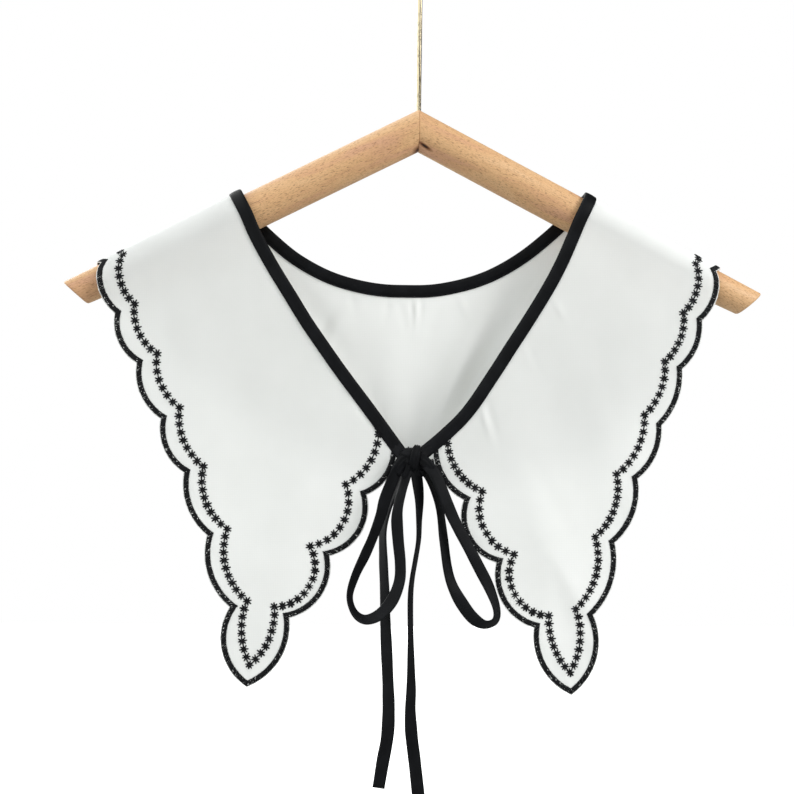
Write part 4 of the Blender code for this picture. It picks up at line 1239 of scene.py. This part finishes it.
class COLLAR_OT_edging(bpy.types.Operator):
    """Stitches the black satin edge round the scallops, one raised thread after the other"""
    bl_idname = "collar.edging"
    bl_label = "Satin edge"

    # Chance that a gap between two stitches is deep, and that a dent of a few stitches starts
    deep_gap, dent_start = 0.13, 0.09
    # Share of the band's width from its inner border, height over the cloth's middle
    section = [(-0.03, 0.0), (0.05, 0.5), (0.3, 0.68), (0.7, 0.68), (0.95, 0.5), (1.03, 0.0)]

    def execute(self, context):
        pitch = context.scene.collar_thread.pitch / MM
        for seed, side in enumerate(("left", "right", "back")):
            points, faces, uvs, tones = self.band(LEAVES[side], pitch, random.Random(31 + seed))
            name = "satin_edge_" + side
            finish_piece(make_piece(name, points, faces, thread_material(), uvs, tones), "black_tape")
        return {"FINISHED"}

    def band(self, leaf, pitch, draw):
        """Satin stitches across the band of one leaf, with the odd deep gap and dent."""
        inner_arcs = scallop_arcs(leaf["table"], leaf["turn"], BAND_INNER)
        outer_arcs = scallop_arcs(leaf["table"], leaf["turn"], BAND_OUTER)
        rings, tones = [], []
        spot, left = 0, 0
        for i, (one, two) in enumerate(zip(inner_arcs, outer_arcs)):
            stitches = max(2, round(arc_length(*two) / pitch))
            near, far = arc(*one, 2 * stitches), arc(*two, 2 * stitches)
            for k, (a, b) in enumerate(zip(near, far)):
                if k == 0 and i:
                    continue
                ridge = k % 2 == 1
                lift = draw.uniform(0.9, 1.2) if ridge else draw.uniform(0.66, 0.82)
                if not ridge and 0 < k < 2 * stitches and draw.random() < self.deep_gap:
                    lift = draw.uniform(0.1, 0.3)
                reach_in = draw.uniform(-0.05, 0.07) if ridge else -0.05
                reach_out = draw.uniform(-0.04, 0.07) if ridge else -0.05
                # Each raised stitch gets a tone that sets its gloss and paints the lighter ones with a
                # painted sheen
                tone = draw.random() ** 1.6 if ridge else 0.0
                left -= 1
                if left < 0 and draw.random() < self.dent_start:
                    left, spot = draw.choice((2, 2, 4)), draw.choice((2, 3, 3))
                low, high = [], []
                for place, (u, h) in enumerate(self.section):
                    if left > 0 and place == spot:
                        h = 0.12
                    v = u - reach_in * (1 - u) + reach_out * u
                    x, z = a[0] + (b[0] - a[0]) * v, a[1] + (b[1] - a[1]) * v
                    x *= leaf["sign"]
                    high.append(lay(leaf["facing"], x, z, CLOTH_MIDDLE + h * lift))
                    if h:
                        low.append(lay(leaf["facing"], x, z, CLOTH_MIDDLE - h * lift))
                rings.append(high + low[::-1])
                tones += [tone] * len(rings[-1])
        points, faces, uvs = sweep(rings)
        return points, faces, uvs, tones


class COLLAR_OT_stars(bpy.types.Operator):
    """Stitches the row of small eight-ray stars that follows the scallops"""
    bl_idname = "collar.stars"
    bl_label = "Star stitches"

    def execute(self, context):
        rays = context.scene.collar_thread.rays
        tables = {"left": STARS_LEFT, "right": STARS_RIGHT, "back": self.back_corners()}
        for seed, (side, table) in enumerate(tables.items()):
            draw = random.Random(71 + seed)
            stars = self.places(LEAVES[side], table)
            points, faces, tones = [], [], []
            for i, (x, z, lean) in enumerate(stars):
                self.star(LEAVES[side], x, z, lean, rays, draw, points, faces, tones)
                before = stars[i - 1][:2]
                if i and dist(before, (x, z)) < 1.6 * STAR_PITCH:
                    self.thread(LEAVES[side], before, (x, z), LINK_HALF_WIDTH, LINK_HEIGHT,
                                draw, points, faces, tones)
            name = "star_stitches_" + side
            finish_piece(make_piece(name, points, faces, thread_material(), None, tones), "black_tape")
        return {"FINISHED"}

    def back_corners(self):
        """Corner stars of the back, set in from each cusp, with the stars that fit between."""
        corners = []
        for i, row in enumerate(BACK[1:-1], 1):
            dx, dz = unit(BACK[i + 1][0] - BACK[i - 1][0], BACK[i + 1][1] - BACK[i - 1][1])
            corners.append((row[0] - dz * BACK_STAR_INSET, row[1] + dx * BACK_STAR_INSET, row[2]))
        table = []
        for p, q in zip(corners, corners[1:]):
            # The row is shorter than the edge, so that its arcs are flatter; each is 7% longer than its chord
            table.append((p[0], p[1], p[2] * 0.85, round(dist(p[:2], q[:2]) * 1.07 / STAR_PITCH) - 1))
        table.append((*corners[-1][:2], 0.0, 0))
        return table

    def places(self, leaf, table):
        """Every star of a row: flat place and the row's direction there."""
        spots = self.run_up(table[0])
        for a, b in zip(table, table[1:]):
            spots += arc(circle(a, b, a[2], leaf["turn"]), a, b, a[3] + 1)[:-1]
        spots.append(table[-1][:2])
        spots += self.run_up(table[-1])[::-1]
        out = []
        for i, (x, z) in enumerate(spots):
            p, q = spots[max(i - 1, 0)], spots[min(i + 1, len(spots) - 1)]
            out.append((x, z, atan2(q[1] - p[1], q[0] - p[0])))
        return out

    def run_up(self, corner):
        """Stars from the arm's top line down to a corner star near it, on a line that bends outwards."""
        below = crest(*corner[:2])
        if below > 30.0:
            return []
        outward = 1.0 if corner[0] > 0 else -1.0
        rows = []
        for k in range(int(below / STAR_PITCH), 0, -1):
            rise = k * STAR_PITCH
            out = outward * (0.69 * rise - 0.02625 * rise * rise)
            rows.append((corner[0] + out, corner[1] + 0.78 * rise))
        return [row for row in rows if crest(*row) > -0.5]

    def star(self, leaf, x, z, lean, rays, draw, points, faces, tones):
        """One star: short threads that leave its middle, one of them along the row."""
        spin = draw.uniform(-0.12, 0.12)
        for k in range(rays):
            a = lean + spin + 2 * pi * (k + draw.uniform(-0.09, 0.09)) / rays
            reach = STAR_REACH * draw.uniform(0.88, 1.08)
            end = (x + reach * cos(a), z + reach * sin(a))
            start = (x + 0.15 * cos(a), z + 0.15 * sin(a))
            self.thread(leaf, start, end, RAY_HALF_WIDTH, RAY_HEIGHT, draw, points, faces, tones, True)

    def thread(self, leaf, a, b, half, height, draw, points, faces, tones, taper=False):
        """A short thread over the cloth and its reverse, from a to b."""
        dx, dz = b[0] - a[0], b[1] - a[1]
        tx, tz = unit(dx, dz)
        # The thread's tone sets its gloss and paints the lighter ones with a painted sheen
        tone = draw.random() ** 2.0
        base = len(points)
        # Share of the way, of the width and of the height
        steps = ((0.0, 1.0, 1.0), (0.5, 1.0, 0.95), (1.0, 0.74, 0.7)) if taper else (
            (0.0, 1.0, 1.0), (1.0, 1.0, 1.0))
        for t, wide, high in steps:
            for u, h in ((-1.0, 0.0), (0.0, 1.0), (1.0, 0.0), (0.0, -1.0)):
                off = half * wide * u
                x, z = a[0] + dx * t - tz * off, a[1] + dz * t + tx * off
                points.append(lay(leaf["facing"], leaf["sign"] * x, z, CLOTH_MIDDLE + h * high * height))
                tones.append(tone)
        count = len(steps)
        for i in range(count - 1):
            for k in range(4):
                low, m = base + i * 4, (k + 1) % 4
                faces.append((low + k, low + m, low + 4 + m, low + 4 + k))
        faces.append(tuple(base + k for k in range(4)))
        faces.append(tuple(base + (count - 1) * 4 + k for k in range(4)))


class COLLAR_OT_binding(bpy.types.Operator):
    """Folds the black tape over the whole neck edge, from the knot round to the knot"""
    bl_idname = "collar.binding"
    bl_label = "Neck binding"

    # Across the tape from the fold at the neck to its free edge, and height over the inner face
    section = [
        (-4.15, 0.6), (-4.0, 1.2), (-3.4, 1.68), (-1.8, 1.92), (0.4, 1.98), (2.2, 1.9), (2.85, 1.82),
        (3.05, 1.6), (3.25, 1.8), (3.8, 1.66), (4.12, 1.25), (4.0, 0.92), (0.0, 0.9), (-3.1, 0.9),
        (-3.45, 0.6), (-3.1, 0.3), (0.0, 0.3), (4.0, 0.28), (4.12, -0.05), (3.8, -0.42), (3.25, -0.56),
        (3.05, -0.36), (2.85, -0.58), (0.4, -0.74), (-1.8, -0.7), (-3.4, -0.48), (-4.0, 0.0),
    ]

    def execute(self, context):
        stations = []
        for side in ("left", "back", "right"):
            leaf = LEAVES[side]
            line, start, end = neck_span(leaf["neck"])
            steps = round((end - start) / BINDING_STEP)
            run = []
            for k in range(steps + 1):
                p, n = neck_station(line, start + (end - start) * k / steps, leaf["turn"])
                run.append((leaf, p, n))
            if side == "left":
                run.reverse()
            if stations:
                run = run[1:]
            stations += run
        rings, lengths = [], [0.0]
        for i, (leaf, p, n) in enumerate(stations):
            s = lengths[-1]
            wave = 0.14 * noise.noise(Vector((s / 16.0, 2.0, 0.0)))
            edge = 0.22 * noise.noise(Vector((s / 22.0, 7.0, 0.0)))
            ring = []
            for across, out in self.section:
                stretch = across + edge * (across / 4.0) ** 2
                x, z = p[0] + n[0] * stretch, p[1] + n[1] * stretch
                puff = (out - CLOTH_MIDDLE) * (1.0 + 0.8 * wave)
                ring.append(lay(leaf["facing"], leaf["sign"] * x, z, CLOTH_MIDDLE + puff, 0.0))
            rings.append(ring)
            if i + 1 < len(stations):
                lengths.append(s + BINDING_STEP)
        points, faces, uvs = sweep(rings, lengths, perimeter(self.section))
        piece = make_piece("neck_binding_tape", points, faces, tape_material(), uvs)
        finish_piece(piece, "black_tape", "binding_front_left", "binding_back", "binding_front_right")
        return {"FINISHED"}


class COLLAR_OT_arms(bpy.types.Operator):
    """Turns the two beech arms, mitred at the top, with a gouge under the joint"""
    bl_idname = "collar.arms"
    bl_label = "Wooden arms"

    def execute(self, context):
        wood = tuple(context.scene.collar_hanger.wood)
        for side, sign in (("left", -1.0), ("right", 1.0)):
            arm = self.turned(sign)
            arm.name = arm.data.name = "beech_arm_" + side
            arm.data.materials.append(lacquered_beech(wood, side, sign))
            if sign > 0:
                self.gouge(arm)
            select_only(arm)
            bpy.ops.object.shade_smooth_by_angle(angle=radians(40.0))
            finish_piece(arm, "beech", "hanger_arm_" + side)
        return {"FINISHED"}

    def turned(self, sign):
        """A disc drawn out to a tapered rod, then cut to the mitre and to the slanted end."""
        along = Vector((sign * COS_A, 0.0, -SIN_A))
        rise = Vector((sign * SIN_A, 0.0, COS_A))
        top = ARM_RADIUS * tan(ARM_SLOPE)
        middle = Vector((0.0, 0.0, AXIS_Z))
        spot, radius = middle - along * 20.0, ARM_RADIUS
        bpy.ops.object.select_all(action="DESELECT")
        bpy.ops.mesh.primitive_circle_add(
            vertices=ARM_SIDES, radius=radius * MM, fill_type="NGON", location=spot * MM,
            rotation=along.to_track_quat("Z", "Y").to_euler())
        arm = bpy.context.active_object
        bpy.ops.object.transform_apply(location=True, rotation=True, scale=True)
        bpy.ops.object.mode_set(mode="EDIT")
        bpy.ops.mesh.select_all(action="SELECT")
        ends = [(ARM_LENGTH, ARM_END_RADIUS), (ARM_LENGTH + 12.0, ARM_END_RADIUS)]
        for distance, wide in ARM_SECTIONS + ends:
            target = middle + along * (distance - top) + rise * (ARM_RADIUS - wide)
            draw_out((target - spot) * MM, wide / radius, target * MM)
            spot, radius = target, wide
        bpy.ops.mesh.select_all(action="SELECT")
        bpy.ops.mesh.bisect(plane_co=(sign * JOINT_HALF_GAP * MM, 0.0, 0.0), plane_no=(sign, 0.0, 0.0),
                            use_fill=True, clear_inner=True)
        bpy.ops.mesh.bevel(offset=JOINT_CHAMFER * MM, segments=1, affect="EDGES")
        bpy.ops.mesh.select_all(action="SELECT")
        corner = middle + along * (ARM_LENGTH - top) + rise * ARM_RADIUS
        bpy.ops.mesh.bisect(plane_co=corner * MM, plane_no=along - rise * tan(END_SLANT),
                            use_fill=True, clear_outer=True)
        bpy.ops.mesh.bevel(offset=END_ROUND * MM, segments=5, affect="EDGES")
        bpy.ops.mesh.select_all(action="SELECT")
        bpy.ops.mesh.normals_make_consistent(inside=False)
        bpy.ops.object.mode_set(mode="OBJECT")
        return arm

    def gouge(self, arm):
        """A short slot under the joint, on the front of the right arm."""
        select_only(arm)
        bpy.ops.mesh.primitive_uv_sphere_add(segments=20, ring_count=12, radius=1.0, location=(0.0, 0.0, 0.0))
        cutter = bpy.context.active_object
        along = Vector((COS_A, 0.0, -SIN_A))
        inward = Vector((0.35, 0.78, 0.52)).normalized()
        inward = (inward - along * inward.dot(along)).normalized()
        across = along.cross(inward)
        turned = Matrix((along, across, inward)).transposed().to_4x4()
        place = Matrix.Translation(Vector((2.9, -8.9, -154.0)) * MM)
        cutter.data.transform(place @ turned @ Matrix.Diagonal((3.7 * MM, 1.0 * MM, 4.2 * MM, 1.0)))
        cut = arm.modifiers.new("gouge", "BOOLEAN")
        cut.operation = "DIFFERENCE"
        cut.solver = "EXACT"
        cut.object = cutter
        apply_modifier(arm, cut)
        bpy.data.objects.remove(cutter, do_unlink=True)


class COLLAR_OT_hook(bpy.types.Operator):
    """Bends the plated wire into its hook, with a straight stem that enters the wood"""
    bl_idname = "collar.hook"
    bl_label = "Wire hook"

    def execute(self, context):
        tip = radians(HOOK_TIP_ANGLE)
        start = Vector((-HOOK_RADIUS * cos(tip), 0.0, HOOK_CENTRE_Z + HOOK_RADIUS * sin(tip)))
        way = Vector((sin(tip), 0.0, cos(tip)))
        bpy.ops.object.select_all(action="DESELECT")
        bpy.ops.mesh.primitive_circle_add(
            vertices=WIRE_SIDES, radius=0.35 * WIRE_RADIUS * MM, fill_type="NGON",
            location=(start - way * 0.9) * MM, rotation=way.to_track_quat("Z", "Y").to_euler())
        wire = context.active_object
        bpy.ops.object.transform_apply(location=True, rotation=True, scale=True)
        bpy.ops.object.mode_set(mode="EDIT")
        bpy.ops.mesh.select_all(action="SELECT")
        # The cut end is filed round
        spot, share = start - way * 0.9, 0.35
        for back, wide in ((0.65, 0.72), (0.35, 0.93), (0.0, 1.0)):
            target = start - way * back
            draw_out((target - spot) * MM, wide / share, target * MM)
            spot, share = target, wide
        turn = radians(HOOK_TURN_ANGLE)
        low = Vector((HOOK_RADIUS, 0.0, HOOK_CENTRE_Z + 2 * HOOK_RADIUS * sin(turn)))
        ring = Vector((0.0, 0.0, HOOK_CENTRE_Z))
        for steps, angle, centre in ((64, turn - tip, ring), (16, pi - turn, low)):
            bpy.ops.mesh.spin(steps=steps, angle=angle, center=centre * MM, axis=(0.0, -1.0, 0.0))
        end = Vector((0.0, 0.0, ARM_TOP_Z - STEM_DEPTH))
        draw_out(Vector((0.0, 0.0, end.z - low.z)) * MM, 1.0, end * MM)
        bpy.ops.mesh.select_all(action="SELECT")
        bpy.ops.mesh.normals_make_consistent(inside=False)
        bpy.ops.object.mode_set(mode="OBJECT")
        bpy.ops.object.shade_smooth_by_angle(angle=radians(50.0))
        wire.name = wire.data.name = "brass_hook_wire"
        wire.data.materials.append(brass_wire(tuple(context.scene.collar_hanger.wire)))
        finish_piece(wire, "brass_wire", "hanger_hook")
        return {"FINISHED"}


class COLLAR_OT_declare(bpy.types.Operator):
    """Gathers the names of the pieces sewn to the one-piece collar, and does nothing more with them"""
    bl_idname = "collar.declare"
    bl_label = "Sheet facts"

    def execute(self, context):
        sewn = ["neck_binding_tape"]
        for side in ("left", "right", "back"):
            sewn += ["satin_edge_" + side, "star_stitches_" + side]
        return {"FINISHED"}


STEPS = ("stage", "ties", "cloth", "edging", "stars", "binding", "arms", "hook", "declare")


class COLLAR_PT_panel(bpy.types.Panel):
    """Lists the collar's pieces and settings"""
    bl_idname = "COLLAR_PT_panel"
    bl_label = "False collar"
    bl_space_type = "VIEW_3D"
    bl_region_type = "UI"
    bl_category = "Collar"

    def draw(self, context):
        for group in ("collar_cloth", "collar_thread", "collar_tape", "collar_hanger", "collar_stage"):
            settings = getattr(context.scene, group)
            box = self.layout.box()
            for key in settings.bl_rna.properties.keys():
                if key not in ("rna_type", "name"):
                    box.prop(settings, key)
        for step in STEPS:
            self.layout.operator("collar." + step)


GROUPS = (
    ("collar_cloth", ClothSettings), ("collar_thread", ThreadSettings), ("collar_tape", TapeSettings),
    ("collar_hanger", HangerSettings), ("collar_stage", StageSettings),
)
CLASSES = (
    COLLAR_OT_stage, COLLAR_OT_ties, COLLAR_OT_cloth, COLLAR_OT_edging, COLLAR_OT_stars,
    COLLAR_OT_binding, COLLAR_OT_arms, COLLAR_OT_hook, COLLAR_OT_declare, COLLAR_PT_panel,
)


def register():
    for name, group in GROUPS:
        bpy.utils.register_class(group)
        setattr(bpy.types.Scene, name, PointerProperty(type=group))
    for made in CLASSES:
        bpy.utils.register_class(made)


def unregister():
    for made in reversed(CLASSES):
        bpy.utils.unregister_class(made)
    for name, group in reversed(GROUPS):
        delattr(bpy.types.Scene, name)
        bpy.utils.unregister_class(group)


def main():
    register()
    for step in STEPS:
        if getattr(bpy.ops.collar, step)() != {"FINISHED"}:
            raise RuntimeError("the step " + step + " did not finish")


if __name__ == "__main__":
    main()
